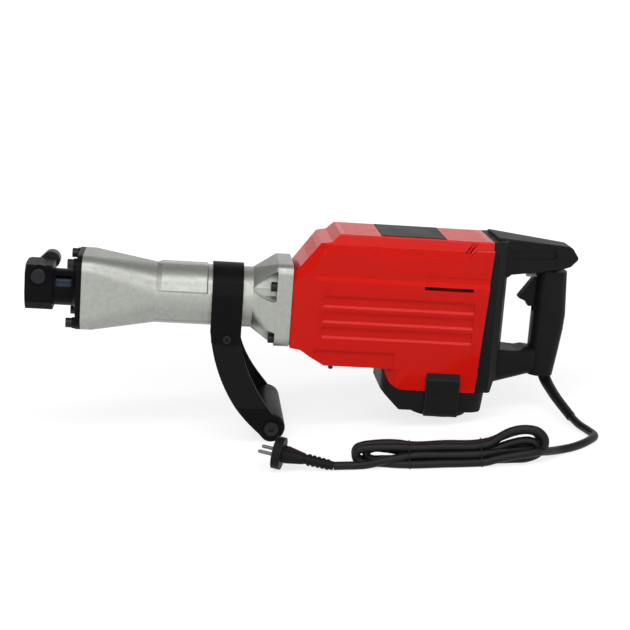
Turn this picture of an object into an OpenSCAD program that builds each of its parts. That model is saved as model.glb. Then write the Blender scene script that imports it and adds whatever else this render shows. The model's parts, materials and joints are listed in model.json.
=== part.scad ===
// Electric demolition hammer lying on its side-handle grip and its motor end cap.
// Machine frame: X runs from the nose to the rear handle along the barrel axis, Z points up out of
// the roof.  pose() tips that frame and lifts it on to the floor, z = 0.

/* [Nose] */
// Length of the tool retainer block
block_l = 36; // [30:1:44]
// Width of the retainer block
block_w = 58; // [54:1:64]
// Top of the retainer block above the barrel axis
block_top = 33; // [32:1:36]
// Bottom of the retainer block below the barrel axis
block_low = 29; // [26:1:32]
// Size of the hexagon tool socket across its flats
hex_af = 31; // [28:0.5:32]
// Diameter of the neck behind the retainer block
neck_d = 49; // [46:1:54]
// Length of the neck
neck_l = 32; // [30:1:40]
// Side of the square front flange
flange_side = 100; // [96:1:106]
// Thickness of the front flange
flange_t = 7; // [6:0.5:9]
// Distance of the front bolts from the axis, both ways
front_bolt_at = 39.4; // [38:0.2:41]
// Diameter of the front bolts
front_bolt_d = 8; // [6:1:9]
// Diameter of the retainer pin
retainer_d = 18; // [16:0.5:19]
// Distance of the retainer pin behind the nose
retainer_x = 19; // [16:1:22]
// Height of the retainer pin above the barrel axis
retainer_z = 21; // [20.5:0.5:23]

/* [Barrel] */
// Length of the straight front of the cylinder case
nose_straight = 14; // [8:1:20]
// Length of the tapered front of the cylinder case
nose_cone = 82; // [74:1:90]
// Length of the slim round waist
waist_l = 130; // [122:1:140]
// Diameter of the waist
waist_d = 81.6; // [80:0.2:84]
// Length of the flare behind the waist
flare_l = 30; // [26:1:36]
// Thickness of the rear flange
rear_flange_t = 20; // [16:1:24]
// Height of the rear flange
rear_flange_h = 112; // [108:1:118]
// Bore of the cylinder case
case_bore = 66; // [64:0.5:68]
// Bore of the cylinder liner
liner_bore = 56; // [52:0.5:58]
// Diameter of the rear flange bolts
rear_bolt_d = 8; // [6:1:10]

/* [Striking mechanism] */
// Throw of the crank
crank_throw = 20; // [16:1:22]
// Distance between the eyes of the connecting rod
rod_l = 125; // [120:1:130]
// Length of the piston
piston_l = 36; // [32:1:40]
// Length of the striker body
striker_l = 46; // [40:1:50]
// Diameter of the wrist pin
wrist_d = 12; // [10:1:14]
// Module of the gears driven by the armature
fast_module = 1.5; // [1.5:0.05:1.6]
// Module of the gears that drive the crank
slow_module = 2.25; // [2.2:0.05:2.3]

/* [Motor] */
// Distance of the motor shaft behind the body face
motor_x_from_body = 205; // [202:1:208]
// Diameter of the armature core
armature_d = 54; // [50:1:56]
// Outside diameter of the stator
stator_d = 88; // [84:1:90]
// Length of the stator stack
stack_l = 76; // [70:1:80]
// Diameter of the cooling fan
fan_d = 80; // [74:1:84]

/* [Body cover] */
// Length of the cover along the barrel axis, at the height of the axis
cover_l = 257; // [252:1:262]
// Height of the roof above the barrel axis
roof_z = 101; // [99:1:104]
// Half width of the cover below its side ledge
cover_half = 64; // [63:0.5:66]
// How far the wall above the ledge stands back
ledge_in = 4.5; // [3:0.5:5]
// Depth of the cover below the barrel axis, in front of the motor
belly_z = 75; // [73:0.5:78]
// Bottom edge of the red shell on the motor
skirt_z = 102.5; // [99:0.5:106]
// Thickness of the shell wall
shell_t = 2.5; // [2:0.25:3]
// Depth of the long side pockets
pocket_depth = 2.4; // [1.5:0.1:2.6]
// Height of one side pocket
pocket_h = 17; // [14:0.5:18]
// Distance from one side pocket to the next
pocket_pitch = 20.8; // [20:0.2:21.6]

/* [Motor end] */
// Bottom of the black motor end housing below the barrel axis
end_z = 130; // [129:1:134]
// Radius of the round end cap
cap_r = 40; // [36:1:44]
// Depth of the end cap below the end housing
cap_h = 15; // [12:0.5:16]
// Width of a brush cover along the machine
brush_cover_w = 46; // [42:1:52]

/* [Rear handle] */
// Distance from the rear of the cover to the front of the hand opening
handle_base = 29; // [26:1:34]
// Width of the hand opening
opening_w = 46; // [42:1:52]
// Height of the hand opening
opening_h = 107; // [100:1:114]
// Top of the hand opening above the barrel axis
opening_top = 57; // [54:1:60]
// Depth of the grip behind the opening
grip_depth = 45.5; // [44:0.5:50]
// Width of the grip across the machine
grip_w = 40; // [36:1:44]

/* [Side handle] */
// Width of the steel strap on the barrel
strap_w = 41; // [36:1:46]
// Thickness of the strap
strap_t = 4.5; // [3.5:0.5:6]
// Distance of the grip below the barrel axis
side_grip_z = 160; // [156:1:166]
// Distance of the grip behind the front of the strap
side_grip_x = 87; // [82:1:90]
// Diameter of the side grip
side_grip_d = 37; // [33:0.5:40]
// Length of the side grip between the arms
side_grip_l = 148; // [140:1:156]
// Distance of the strap from the front of the waist
strap_x = 75; // [70:1:80]

/* [Mains lead] */
// Diameter of the mains cord
cord_d = 10.5; // [9.5:0.1:11]

/* [Hidden] */
$fn = 64;
soft_fn = 36;      // circle facets inside a hull
gap = 0.05;        // radial clearance of a fitted pair
run = 0.3;         // clearance between faces that move past each other

// stations along the barrel axis, from the nose
x_neck = block_l;
x_flange = x_neck + neck_l;
x_case = x_flange + flange_t;
x_cone = x_case + nose_straight;
x_waist = x_cone + nose_cone;
x_flare = x_waist + waist_l;
x_rear = x_flare + flare_l;
x_body = x_rear + rear_flange_t;
x_cover = x_body + 1;
x_motor = x_body + motor_x_from_body;
x_back = x_cover + cover_l;            // rear of the cover at the height of the axis
back_lean = 0.056;                     // how much the rear of the cover leans, mm per mm of height
x_open = x_back + handle_base + 2;     // front of the hand opening
x_grip = x_open + opening_w;
z_open = opening_top - opening_h;

// gear train, from the motor shaft forwards to the crank
pinion_teeth = 11;
fast_teeth = 47;
small_teeth = 12;
crank_teeth = 40;
x_counter = x_motor - fast_module * (pinion_teeth + fast_teeth) / 2;
x_crank = x_counter - slow_module * (small_teeth + crank_teeth) / 2;
x_big_eye = x_crank - crank_throw;     // the crank stands at its front dead centre
x_wrist = x_big_eye - rod_l;

// side handle and resting pose
x_strap = x_waist + strap_x;
x_side_grip = x_strap + side_grip_x;
strap_in = waist_d / 2 + run;
strap_out = strap_in + strap_t;
arm_out = side_grip_l / 2 + strap_t;   // outer face of an arm at the grip
x_cap = x_motor + 10;
cap_z = end_z + cap_h;
rest_run = x_cap + cap_r - x_side_grip;
rest_drop = cap_z - side_grip_z;
tilt = atan2(rest_run, rest_drop) - acos(side_grip_d / 2 / norm([rest_run, rest_drop]));
axis_h = side_grip_d / 2 + side_grip_z * cos(tilt) + x_side_grip * sin(tilt);
knob_r = 5;                            // rounded rear end of the handle's upper arm
x_knob = x_grip + grip_depth + 1.5;
z_knob = opening_top + 23;
nose_low = -block_low * sin(tilt);
mid_x = (x_knob * cos(tilt) + z_knob * sin(tilt) + knob_r + nose_low) / 2;

// ---- frames and simple solids -----------------------------------------------------------------
// machine frame -> resting on the floor
module pose() translate([-mid_x, 0, axis_h]) rotate([0, tilt, 0]) children();
// a section drawn in y and z, run from x0 to x1
module run_x(x0, x1) translate([x0, 0, 0]) rotate([90, 0, 90]) linear_extrude(x1 - x0) children();
// a profile drawn in x and z, run from y0 to y1
module run_y(y0, y1) translate([0, y1, 0]) rotate([90, 0, 0]) linear_extrude(y1 - y0) children();
// an outline drawn in x and y, run from z0 to z1
module run_z(z0, z1) translate([0, 0, z0]) linear_extrude(z1 - z0) children();
module rod_x(x0, x1, r, r2 = undef)
    translate([x0, 0, 0]) rotate([0, 90, 0]) cylinder(h = x1 - x0, r1 = r, r2 = is_undef(r2) ? r : r2);
module rod_y(y0, y1, r) translate([0, y1, 0]) rotate([90, 0, 0]) cylinder(h = y1 - y0, r = r);
module rod_z(z0, z1, r) translate([0, 0, z0]) cylinder(h = z1 - z0, r = r);
module tube_x(x0, x1, r_out, r_in) difference() {
    rod_x(x0, x1, r_out);
    rod_x(x0 - 1, x1 + 1, r_in);
}
module tube_z(z0, z1, r_out, r_in) difference() {
    rod_z(z0, z1, r_out);
    rod_z(z0 - 1, z1 + 1, r_in);
}
module both_sides() for (s = [0, 1]) mirror([0, s, 0]) children();
module four(a, b) for (y = [-a, a], z = [-b, b]) translate([0, y, z]) children();
module round_rect(w, h, r) union() {
    square([w - 2 * r, h], center = true);
    square([w, h - 2 * r], center = true);
    for (x = [-1, 1], y = [-1, 1]) translate([x * (w / 2 - r), y * (h / 2 - r)]) circle(r);
}
// a slot with round ends, drawn in x and z, run from y0 to y1
module slot_y(x0, x1, z0, z1, y0, y1) union() {
    r = (z1 - z0) / 2;
    translate([x0 + r, y0, z0]) cube([x1 - x0 - 2 * r, y1 - y0, z1 - z0]);
    for (x = [x0 + r, x1 - r]) translate([x, 0, z0 + r]) rod_y(y0, y1, r);
}
// socket-head cap screw along +X, its head seated at x = 0 in front
module cap_screw(d, length) difference() {
    union() {
        rod_x(-d, 0, 0.8 * d);
        rod_x(-0.5, length, d / 2);
    }
    translate([-d - 1, 0, 0]) rotate([0, 90, 0]) cylinder(h = 0.5 * d + 1, r = 0.42 * d, $fn = 6);
}
function curve(a, b, c, n = 12) =
    [for (i = [0 : n]) let (t = i / n) (1 - t) * (1 - t) * a + 2 * t * (1 - t) * b + t * t * c];
function unit(v) = v / norm(v);

// ---- nose -------------------------------------------------------------------------------------
sleeve_r = 20;
sleeve_flange_t = 7;
spigot_l = 10;
guide_l = 23;
stem_r = 16;
tail_r = 14;
collar_l = 12;
x_spigot = x_case + spigot_l;
x_guide = x_spigot + run + sleeve_flange_t;
x_collar = x_guide + guide_l + 5;
x_liner = x_collar + collar_l + 5;
liner_r = case_bore / 2 - gap;
boss_r = 7.5;
boss_h = 4;
bolt_in = 12;           // depth of the front bolts in the cylinder case
corner_r = 22;          // corners of the front flange and of the case behind it

module block_section() polygon([
    [-block_w / 2, -4], [5 - block_w / 2, -18], [-13, -block_low], [13, -block_low],
    [block_w / 2 - 5, -18], [block_w / 2, -4],
    [block_w / 2, block_top - 3], [block_w / 2 - 3, block_top], [3 - block_w / 2, block_top],
    [-block_w / 2, block_top - 3]]);

module front_cover() color("#1d1d1f") pose() difference() {
    union() {
        intersection() {
            run_x(0, block_l) block_section();
            union() {
                rod_x(0, 5, 37, 45);
                rod_x(5, block_l + 1, 45);
            }
        }
        rod_x(block_l - 1, x_flange + 1, neck_d / 2);
        rod_x(x_flange - 6, x_flange, neck_d / 2, neck_d / 2 + 6);
        intersection() {
            run_x(x_flange - boss_h, x_case) round_rect(flange_side, flange_side, corner_r);
            union() {
                rod_x(x_flange, x_case, flange_side);
                four(front_bolt_at, front_bolt_at) rod_x(x_flange - boss_h, x_flange + 1, boss_r);
            }
        }
        rod_x(x_case - 1, x_spigot, liner_r);
        translate([retainer_x, 0, retainer_z]) rod_y(-block_w / 2 - 2.5, 0, 13.5);
    }
    rotate([0, 90, 0]) rotate(30) translate([0, 0, -1])
        cylinder(h = x_neck + 4, r = (hex_af / 2 + 0.2) / cos(30), $fn = 6);
    rod_x(x_neck + 2, x_spigot + 1, sleeve_r + gap);
    translate([retainer_x, 0, retainer_z]) rod_y(-block_w, block_w, retainer_d / 2 + gap);
    four(front_bolt_at, front_bolt_at) rod_x(0, x_case + 1, front_bolt_d / 2 + gap);
    // the window in the neck that shows the sleeve
    both_sides() translate([x_neck + 3, -block_w, 4]) cube([21, block_w, 14]);
}

module front_cover_bolts() color("#141414") pose() four(front_bolt_at, front_bolt_at)
    translate([x_flange - boss_h, 0, 0]) cap_screw(front_bolt_d, boss_h + flange_t + bolt_in);

module tool_retainer() color("#55585b") pose() translate([retainer_x, 0, retainer_z]) union() {
    difference() {
        rod_y(-block_w / 2 - 16, block_w / 2 + 9, retainer_d / 2);
        // the flat that frees the shank when the pin is turned over
        translate([-12, -18, retainer_d / 2 - 3.6]) cube([24, 36, 8]);
    }
    translate([0, block_w / 2, 0]) hull() {
        rod_y(3, 22, 10.5, $fn = soft_fn);
        translate([9.5, 0, 8]) rod_y(3, 22, 11.8, $fn = soft_fn);
    }
}

module tool_sleeve() color("#c9cdd0") pose() difference() {
    union() {
        rod_x(x_neck + 2.2, x_spigot + run + 1, sleeve_r);
        rod_x(x_spigot + run, x_guide - run, liner_r);
    }
    rotate([0, 90, 0]) rotate(30) translate([0, 0, x_neck])
        cylinder(h = x_case, r = hex_af / 2 / cos(30), $fn = 6);
}

module impact_bolt_guide() color("#8d9296") pose() tube_x(x_guide, x_guide + guide_l, liner_r, stem_r + gap);

module impact_bolt() color("#a8acb0") pose() union() {
    rod_x(x_guide + 5, x_collar + 1, stem_r);
    rod_x(x_collar, x_collar + collar_l, stem_r + 6);
    rod_x(x_collar + collar_l - 1, x_collar + collar_l + 21, tail_r);
    rod_x(x_collar + collar_l + 21, x_collar + collar_l + 23, tail_r, tail_r - 2);
}

// ---- barrel -----------------------------------------------------------------------------------
flange_drop = 1.3;      // the rear flange hangs this far below the barrel axis
upper_bolt = [42, 24];
lower_bolt = [38, -47];
module case_bolt_places() for (p = [upper_bolt, lower_bolt])
    both_sides() translate([0, p[0], p[1]]) children();

// a shallow panel sunk into the waist between two angles above the horizontal
module waist_panel(a0, a1, x0, x1, depth) intersection() {
    tube_x(x0, x1, waist_d / 2 + 2, waist_d / 2 - depth);
    run_x(x0 - 1, x1 + 1) polygon([[0, 0], 90 * [-cos(a0), sin(a0)],
        90 * [-cos((a0 + a1) / 2), sin((a0 + a1) / 2)], 90 * [-cos(a1), sin(a1)]]);
}

module cylinder_case() color("#b9bbb6") pose() difference() {
    union() {
        hull() {
            run_x(x_case, x_cone) round_rect(flange_side, flange_side, corner_r, $fn = soft_fn);
            rod_x(x_waist - 1, x_waist, waist_d / 2, $fn = 2 * soft_fn);
        }
        rod_x(x_waist - 1, x_flare + 1, waist_d / 2);
        hull() {
            rod_x(x_flare - 1, x_flare, waist_d / 2, $fn = 2 * soft_fn);
            translate([0, 0, -flange_drop]) run_x(x_rear - 1, x_rear + 1)
                round_rect(flange_side - 2, rear_flange_h - 2, 14, $fn = soft_fn);
        }
        translate([0, 0, -flange_drop]) run_x(x_rear, x_body) round_rect(flange_side, rear_flange_h, 14);
    }
    rod_x(x_case - 1, x_body + 1, case_bore / 2);
    four(front_bolt_at, front_bolt_at)
        rod_x(x_case - 1, x_case + bolt_in + 1, front_bolt_d / 2 + gap);
    both_sides() {
        waist_panel(15, 80, x_waist + 1, x_strap - 6, 1.4);
        waist_panel(-24, -56, x_waist + 1, x_strap + 1, 0.7);
        // pocket over the upper flange bolt, leaf-shaped from the side
        intersection() {
            run_y(-80, -20) polygon(concat(
                curve([x_rear, 46], [x_flare + 6, 31], [x_flare - 1, 18]),
                curve([x_flare - 1, 18], [x_flare + 8, 6], [x_rear - 3, 4], 8), [[x_rear, 6]]));
            run_x(x_flare - 2, x_rear) polygon([[-70, 2], [-44, 2], [-35.5, 10], [-34.5, 20],
                [-30, 32], [-24, 47], [-70, 47]]);
        }
        // pocket over the lower flange bolt, open downwards
        run_y(-80, -27) polygon(concat(
            curve([x_flare + 2, -35], [x_rear - 10, -33], [x_rear, -38], 8),
            [[x_rear, -90], [x_flare + 2, -90]]));
    }
    case_bolt_places() rod_x(x_rear - 1, x_body + 1, rear_bolt_d / 2 + gap);
}

module cylinder_case_bolts() color("#141414") pose() case_bolt_places()
    translate([x_rear, 0, 0]) cap_screw(rear_bolt_d, rear_flange_t + 6.5);

module cylinder_liner() color("#9aa0a4") pose() difference() {
    rod_x(x_liner, x_body - 4, liner_r);
    rod_x(x_liner - 1, x_body, tail_r + gap);
    rod_x(x_liner + 8, x_body, liner_bore / 2);
}

// ---- striking mechanism -----------------------------------------------------------------------
running_r = liner_bore / 2 - gap;
x_striker = x_liner + 60;
x_piston = x_wrist - 22;
ring_t = 3;

module striker() color("#84898d") pose() difference() {
    union() {
        rod_x(x_striker - 15, x_striker + 1, tail_r);
        rod_x(x_striker, x_striker + striker_l, running_r);
    }
    tube_x(x_striker + striker_l - 12, x_striker + striker_l - 12 + ring_t, running_r + 1, running_r - 2);
}
module striker_ring() color("#22252a") pose()
    tube_x(x_striker + striker_l - 12 + gap, x_striker + striker_l - 12 + ring_t - gap,
        running_r, running_r - 2 + gap);

module piston() color("#aab0b4") pose() difference() {
    rod_x(x_piston, x_piston + piston_l, running_r);
    tube_x(x_piston + 4, x_piston + 4 + ring_t, running_r + 1, running_r - 2);
    translate([x_wrist - 12, -22, -9]) cube([piston_l, 44, 18]);
    translate([x_wrist, 0, 0]) rod_z(-liner_bore, liner_bore, wrist_d / 2 + gap);
}
module piston_ring() color("#22252a") pose()
    tube_x(x_piston + 4 + gap, x_piston + 4 + ring_t - gap, running_r, running_r - 2 + gap);
module wrist_pin() color("#d0d3d5") pose() translate([x_wrist, 0, 0]) rod_z(-22, 22, wrist_d / 2);

module connecting_rod() color("#777c80") pose() difference() {
    union() {
        translate([x_wrist, 0, 0]) rod_z(-7, 7, wrist_d / 2 + 4);
        translate([x_big_eye, 0, 0]) rod_z(-7, 7, 17);
        run_z(-5, 5) polygon([[x_wrist, -8], [x_big_eye, -12], [x_big_eye, 12], [x_wrist, 8]]);
    }
    translate([x_wrist, 0, 0]) rod_z(-8, 8, wrist_d / 2 + gap);
    translate([x_big_eye, 0, 0]) rod_z(-8, 8, 12 + gap);
}
module big_end_bearing() color("#c4c8ca") pose()
    translate([x_big_eye, 0, 0]) tube_z(-6.5, 6.5, 12, crank_pin_r + 0.5);

crank_pin_r = 8;
web_z = 16;
web_t = 12;
plate_z = 32;
plate_t = 14;
gear_z = 64;
gear_t = 14;
fast_z = 50;
fast_t = 10;
cover_top = roof_z - 7;
shaft_r = 12;

// involute tooth space limits, as a polygon of one gear centred on the origin
pressure = 25;
backlash = 0.25;
function involute(rb, r) = let (t = sqrt(max(0, r * r / rb / rb - 1)) * 180 / PI) t - atan(t * PI / 180);
function tooth_half(m, n, r) = let (rp = m * n / 2, rb = rp * cos(pressure))
    90 / n - backlash / 4 / rp * 180 / PI + involute(rb, rp) - involute(rb, max(r, rb));
function gear_points(m, n) = let (rp = m * n / 2, root = rp - 1.2 * m, tip = rp + 0.85 * m)
    [for (i = [0 : n - 1], s = [-1, 1], k = [0 : 3])
        let (r = s < 0 ? root + (tip - root) * k / 3 : tip - (tip - root) * k / 3,
             a = 360 * i / n + s * tooth_half(m, n, r)) r * [cos(a), sin(a)]];
module gear(m, n, z0, z1, phase) run_z(z0, z1) rotate(phase) polygon(gear_points(m, n));

module crankshaft() color("#8b9094") pose() translate([x_crank, 0, 0]) union() {
    translate([-crank_throw, 0, 0]) rod_z(7.5, web_z + 1, crank_pin_r);
    intersection() {
        rod_z(web_z, web_z + web_t, 34);
        translate([-32, -26, 0]) cube([68, 52, 60]);
    }
    rod_z(web_z + web_t - 1, gear_z + gear_t + 1, shaft_r);
    rod_z(gear_z + gear_t, cover_top - 2.5, 10);
}
module crank_gear() color("#a4a79f") pose() translate([x_crank, 0, 0]) difference() {
    gear(slow_module, crank_teeth, gear_z, gear_z + gear_t, 0);
    rod_z(gear_z - 1, gear_z + gear_t + 1, shaft_r + gap);
    for (a = [0 : 60 : 300]) rotate(a) translate([26, 0, gear_z - 1]) cylinder(h = gear_t + 2, r = 6);
}
module crank_bearings() color("#d5d8da") pose() translate([x_crank, 0, 0]) {
    tube_z(plate_z, plate_z + plate_t - 2, 22, shaft_r + gap);
    tube_z(gear_z + gear_t + 4, cover_top - 2, 19, 10 + gap);
}
module countershaft() color("#8b9094") pose() translate([x_counter, 0, 0]) {
    rod_z(plate_z + 0.5, gear_z, 8);
    gear(slow_module, small_teeth, gear_z - 1, gear_z + gear_t + 2, 180 + 180 / small_teeth);
    rod_z(gear_z + gear_t + 1, cover_top - 2.5, 7);
}
module fast_gear() color("#a4a79f") pose() translate([x_counter, 0, 0]) difference() {
    gear(fast_module, fast_teeth, fast_z, fast_z + fast_t, 0);
    rod_z(fast_z - 1, fast_z + fast_t + 1, 8 + gap);
    for (a = [30 : 60 : 330]) rotate(a) translate([21, 0, fast_z - 1]) cylinder(h = fast_t + 2, r = 6);
}
module countershaft_bearings() color("#d5d8da") pose() translate([x_counter, 0, 0]) {
    tube_z(plate_z, plate_z + 10, 14, 8 + gap);
    tube_z(gear_z + gear_t + 4, cover_top - 2, 13, 7 + gap);
}

// ---- motor ------------------------------------------------------------------------------------
shaft_motor_r = 7;
core_top = -5;
core_low = core_top - stack_l;
brush_z = core_low - 21;
module armature_shaft() color("#9ea3a6") pose() translate([x_motor, 0, 0]) {
    rod_z(brush_z - 20.5, fast_z - 2, shaft_motor_r);
    gear(fast_module, pinion_teeth, fast_z - 2, fast_z + fast_t + 2, 180 + 180 / pinion_teeth);
}
module armature_core() color("#6a6e72") pose() translate([x_motor, 0, 0]) difference() {
    rod_z(core_low, core_top, armature_d / 2);
    rod_z(core_low - 1, core_top + 1, shaft_motor_r + gap);
    for (a = [0 : 20 : 340]) rotate(a) translate([armature_d / 2 - 3, -0.9, core_low - 1])
        cube([4, 1.8, stack_l + 2]);
}
module commutator() color("#b87333") pose() translate([x_motor, 0, 0])
    tube_z(brush_z - 10, core_low - 4, 17, shaft_motor_r + gap);
module cooling_fan() color("#2c2c2e") pose() translate([x_motor, 0, 8]) difference() {
    union() {
        rod_z(0, 2, fan_d / 2);
        rod_z(0, 14, 12);
        for (a = [0 : 30 : 330]) rotate(a) translate([11, -1, 1]) cube([fan_d / 2 - 12, 2, 12]);
    }
    rod_z(-1, 15, shaft_motor_r + gap);
}
module motor_bearings() color("#d5d8da") pose() translate([x_motor, 0, 0]) {
    tube_z(plate_z, plate_z + 10, 16, shaft_motor_r + gap);
    tube_z(brush_z - 20, brush_z - 12, 13, shaft_motor_r + gap);
}
module stator_core() color("#75797d") pose() translate([x_motor, 0, 0]) difference() {
    rod_z(core_low - 2, core_top + 2, stator_d / 2);
    rod_z(core_low - 3, core_top + 3, armature_d / 2 + 1);
    both_sides() translate([-20, armature_d / 2 + 3, core_low - 3]) cube([40, 7, stack_l + 6]);
}
module field_coils() color("#9c4a20") pose() translate([x_motor, 0, 0]) {
    tube_z(core_low - 9, core_low - 2 - gap, stator_d / 2 - 3, armature_d / 2 + 3);
    tube_z(core_top + 2 + gap, core_top + 9, stator_d / 2 - 3, armature_d / 2 + 3);
}
module motor_tube() color("#3a3a3d") pose() translate([x_motor, 0, 0]) difference() {
    rod_z(core_low - 11, plate_z - gap, stator_d / 2 + 4);
    rod_z(core_low - 12, plate_z, stator_d / 2 + gap);
    for (a = [0 : 45 : 315]) rotate(a) translate([stator_d / 2 - 2, -7, 10]) cube([9, 14, 12]);
}
module carbon_brushes() color("#303236") pose() translate([x_motor, 0, brush_z]) both_sides()
    translate([-4, -38, -6]) cube([8, 20.7, 12]);
module brush_holders() color("#caa24a") pose() translate([x_motor, 0, brush_z]) both_sides() difference() {
    translate([-7, -54, -9]) cube([14, 32, 18]);
    translate([-4 - gap, -50, -6 - gap]) cube([8 + 2 * gap, 40, 12 + 2 * gap]);
}

// ---- gear case --------------------------------------------------------------------------------
case_front = 47.2;      // half width of the gear case where it meets the barrel
case_clear = 3;         // between the gear case and the cover
inner_half = cover_half - ledge_in - shell_t;
case_half = inner_half - case_clear;
wall = 5;
x_case_rear = x_crank + 50;
bearing_fit = gap;

module crank_housing() color("#a9aca6") pose() difference() {
    intersection() {
        run_y(-case_half, case_half) polygon([
            [x_body, -52.3], [x_case_rear, -52.3], [x_case_rear, plate_z], [x_body, plate_z]]);
        run_z(-60, plate_z + 1) polygon([
            [x_body, -case_front], [x_body + 33, -case_half], [x_case_rear, -case_half],
            [x_case_rear, case_half], [x_body + 33, case_half], [x_body, case_front]]);
    }
    intersection() {
        translate([x_body + 8, -case_half, -44])
            cube([x_case_rear - x_body - 8 - wall, 2 * case_half, plate_z + 60]);
        run_z(-60, plate_z + 2) polygon([
            [x_body, wall - case_front], [x_body + 33, wall - case_half], [x_case_rear, wall - case_half],
            [x_case_rear, case_half - wall], [x_body + 33, case_half - wall],
            [x_body, case_front - wall]]);
    }
    rod_x(x_body - 1, x_body + 9, liner_bore / 2);
    case_bolt_places() rod_x(x_body - 1, x_body + 7, rear_bolt_d / 2 + gap);
    corner_cut(shell_t + run);
}

// a stepped seat for a bearing, open towards the gears
module bearing_seat(x, z0, z1, r, r_shaft) translate([x, 0, 0]) {
    rod_z(z0, z1, r + bearing_fit);
    rod_z(z0 - 20, z1 + 20, r_shaft + 2);
}

module gear_plate() color("#8f938f") pose() difference() {
    run_z(plate_z + gap, plate_z + plate_t) polygon([
        [x_body + 10, -case_front], [x_body + 33, -case_half], [x_back - 8, -case_half],
        [x_back - 8, case_half], [x_body + 33, case_half], [x_body + 10, case_front]]);
    bearing_seat(x_crank, plate_z - 1, plate_z + plate_t - 2 + gap, 22, shaft_r);
    bearing_seat(x_counter, plate_z - 1, plate_z + 10 + gap, 14, 8);
    bearing_seat(x_motor, plate_z - 1, plate_z + 10 + gap, 16, shaft_motor_r);
    corner_cut(shell_t + run);
}

lid_half = case_half - 2;
lid_front = x_body + 45;
module gear_cover() color("#a9aca6") pose() difference() {
    intersection() {
        run_y(-lid_half, lid_half) polygon([
            [lid_front, plate_z + plate_t + gap], [lid_front, cover_top - 14],
            [lid_front + 16, cover_top], [x_back - 11, cover_top],
            [x_back - 11, plate_z + plate_t + gap]]);
        run_x(lid_front - 1, x_back) polygon([
            [-lid_half, 0], [-lid_half, cover_top - 16], [8 - lid_half, cover_top],
            [lid_half - 8, cover_top], [lid_half, cover_top - 16], [lid_half, 0]]);
    }
    translate([lid_front + 7, 4 - lid_half, plate_z])
        cube([x_back - 29 - lid_front, 2 * lid_half - 8, gear_z + gear_t + 3.5 - plate_z]);
    bearing_seat(x_crank, gear_z + gear_t, cover_top - 2 + gap, 19, 0 - 2);
    bearing_seat(x_counter, gear_z + gear_t, cover_top - 2 + gap, 13, 0 - 2);
}

// ---- body cover -------------------------------------------------------------------------------
x_slope = x_cover + 33;
x_roof = x_slope + 24;
x_drain = x_cover + 60;
x_skirt = x_motor - 75.5;
skirt_corner = 28;
ledge_z = 40;                          // the side ledge, and the wall above it up to the step
ledge_top = 45;
step_z = 76;
lid_z = roof_z - 15;
lid_side = cover_half - 7;             // half width of the lid at its lower edge
cover_front = flange_side / 2;
function x_edge(z) = x_back + back_lean * z;

// side outline, moved inwards by t; what is open is carried on past the edge
module cover_side(t) {
    open = t > 0 ? 5 : 0;
    polygon([
        [x_cover - open, t - 56], [x_cover + 14, t - 57], [x_cover + 46, t - belly_z],
        [x_edge(-belly_z) + open, t - belly_z], [x_edge(roof_z) + open, roof_z - t],
        [x_roof + 0.42 * t, roof_z - t], [x_slope + 13.5 + 0.49 * t, roof_z - 10.8 - 0.93 * t],
        [x_slope + 0.56 * t, roof_z - 13 - 0.92 * t], [x_cover - open, 44 - 1.67 * t - 1.33 * open]]);
}
module cover_plan(t) {
    half = t > 0 ? inner_half : cover_half;
    front = cover_front - t;
    open = t > 0 ? 5 : 0;
    polygon([
        [x_cover - open, -front], [x_cover, -front], [x_slope, -half], [x_back + 20, -half],
        [x_back + 20, half], [x_slope, half], [x_cover, front], [x_cover - open, front]]);
}
module cover_section(t) {
    upper = cover_half - ledge_in - t;
    lower = t > 0 ? inner_half : cover_half;
    half = [[lower, -belly_z - 1], [lower, ledge_z], [upper, ledge_top], [upper, step_z - t],
        [upper - 1.8, step_z + 1.4 - t], [lid_side - t, lid_z - t], [lid_side - 2.2 - t, lid_z + 1.4 - t],
        [50.4 - t, roof_z - 2 - t], [48.8 - t, roof_z - t]];
    polygon(concat([for (p = half) [-p[0], p[1]]], [for (i = [len(half) - 1 : -1 : 0]) half[i]]));
}
// what the bevel between the front slope and each side takes away
module corner_cut(t) both_sides() translate([x_cover + 7, 1 - cover_front - 4, 38])
    rotate([0, -50.6, 0]) rotate([0, 0, -9.4]) rotate([45, 0, 0])
        translate([-50, -40, -t]) cube([130, 80, 30]);
module cover_block(t) difference() {
    intersection() {
        run_y(-cover_half, cover_half) cover_side(t);
        run_z(-belly_z - 1, roof_z + 1) cover_plan(t);
        run_x(x_cover - 6, x_back + 20) cover_section(t);
    }
    corner_cut(t);
}
// outline of the motor end seen from below, its front corners round
module motor_outline(x0, x1, half, r) union() {
    translate([x0 + r, -half]) square([x1 - x0 - r, 2 * half]);
    translate([x0, r - half]) square([r + 1, 2 * (half - r)]);
    for (s = [-1, 1]) translate([x0 + r, s * (half - r)]) circle(r);
}
// lower edge of the skirt: it rises towards the front
function skirt_curve(down) = curve([x_skirt - 1, -belly_z - 7 - down], [x_skirt + 7.5, -skirt_z - down],
    [x_skirt + 28, -skirt_z - down], 8);
module skirt_side(t) polygon(concat(
    [[x_skirt - 1, t > 0 ? -60 : 1 - belly_z], [x_skirt - 1, -belly_z - 3]],
    t > 0 ? [[x_skirt - 1, -skirt_z - 5], [x_edge(-skirt_z) + 5, -skirt_z - 5]]
        : concat(skirt_curve(0), [[x_edge(-skirt_z), -skirt_z]]),
    [[x_edge(-60) + (t > 0 ? 5 : 0), t > 0 ? -60 : 1 - belly_z]]));
module skirt_block(t) intersection() {
    run_y(-cover_half, cover_half) skirt_side(t);
    run_z(-skirt_z - 1, -50) motor_outline(x_skirt + t, x_back + 10, cover_half - t, skirt_corner - t);
}

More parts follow.
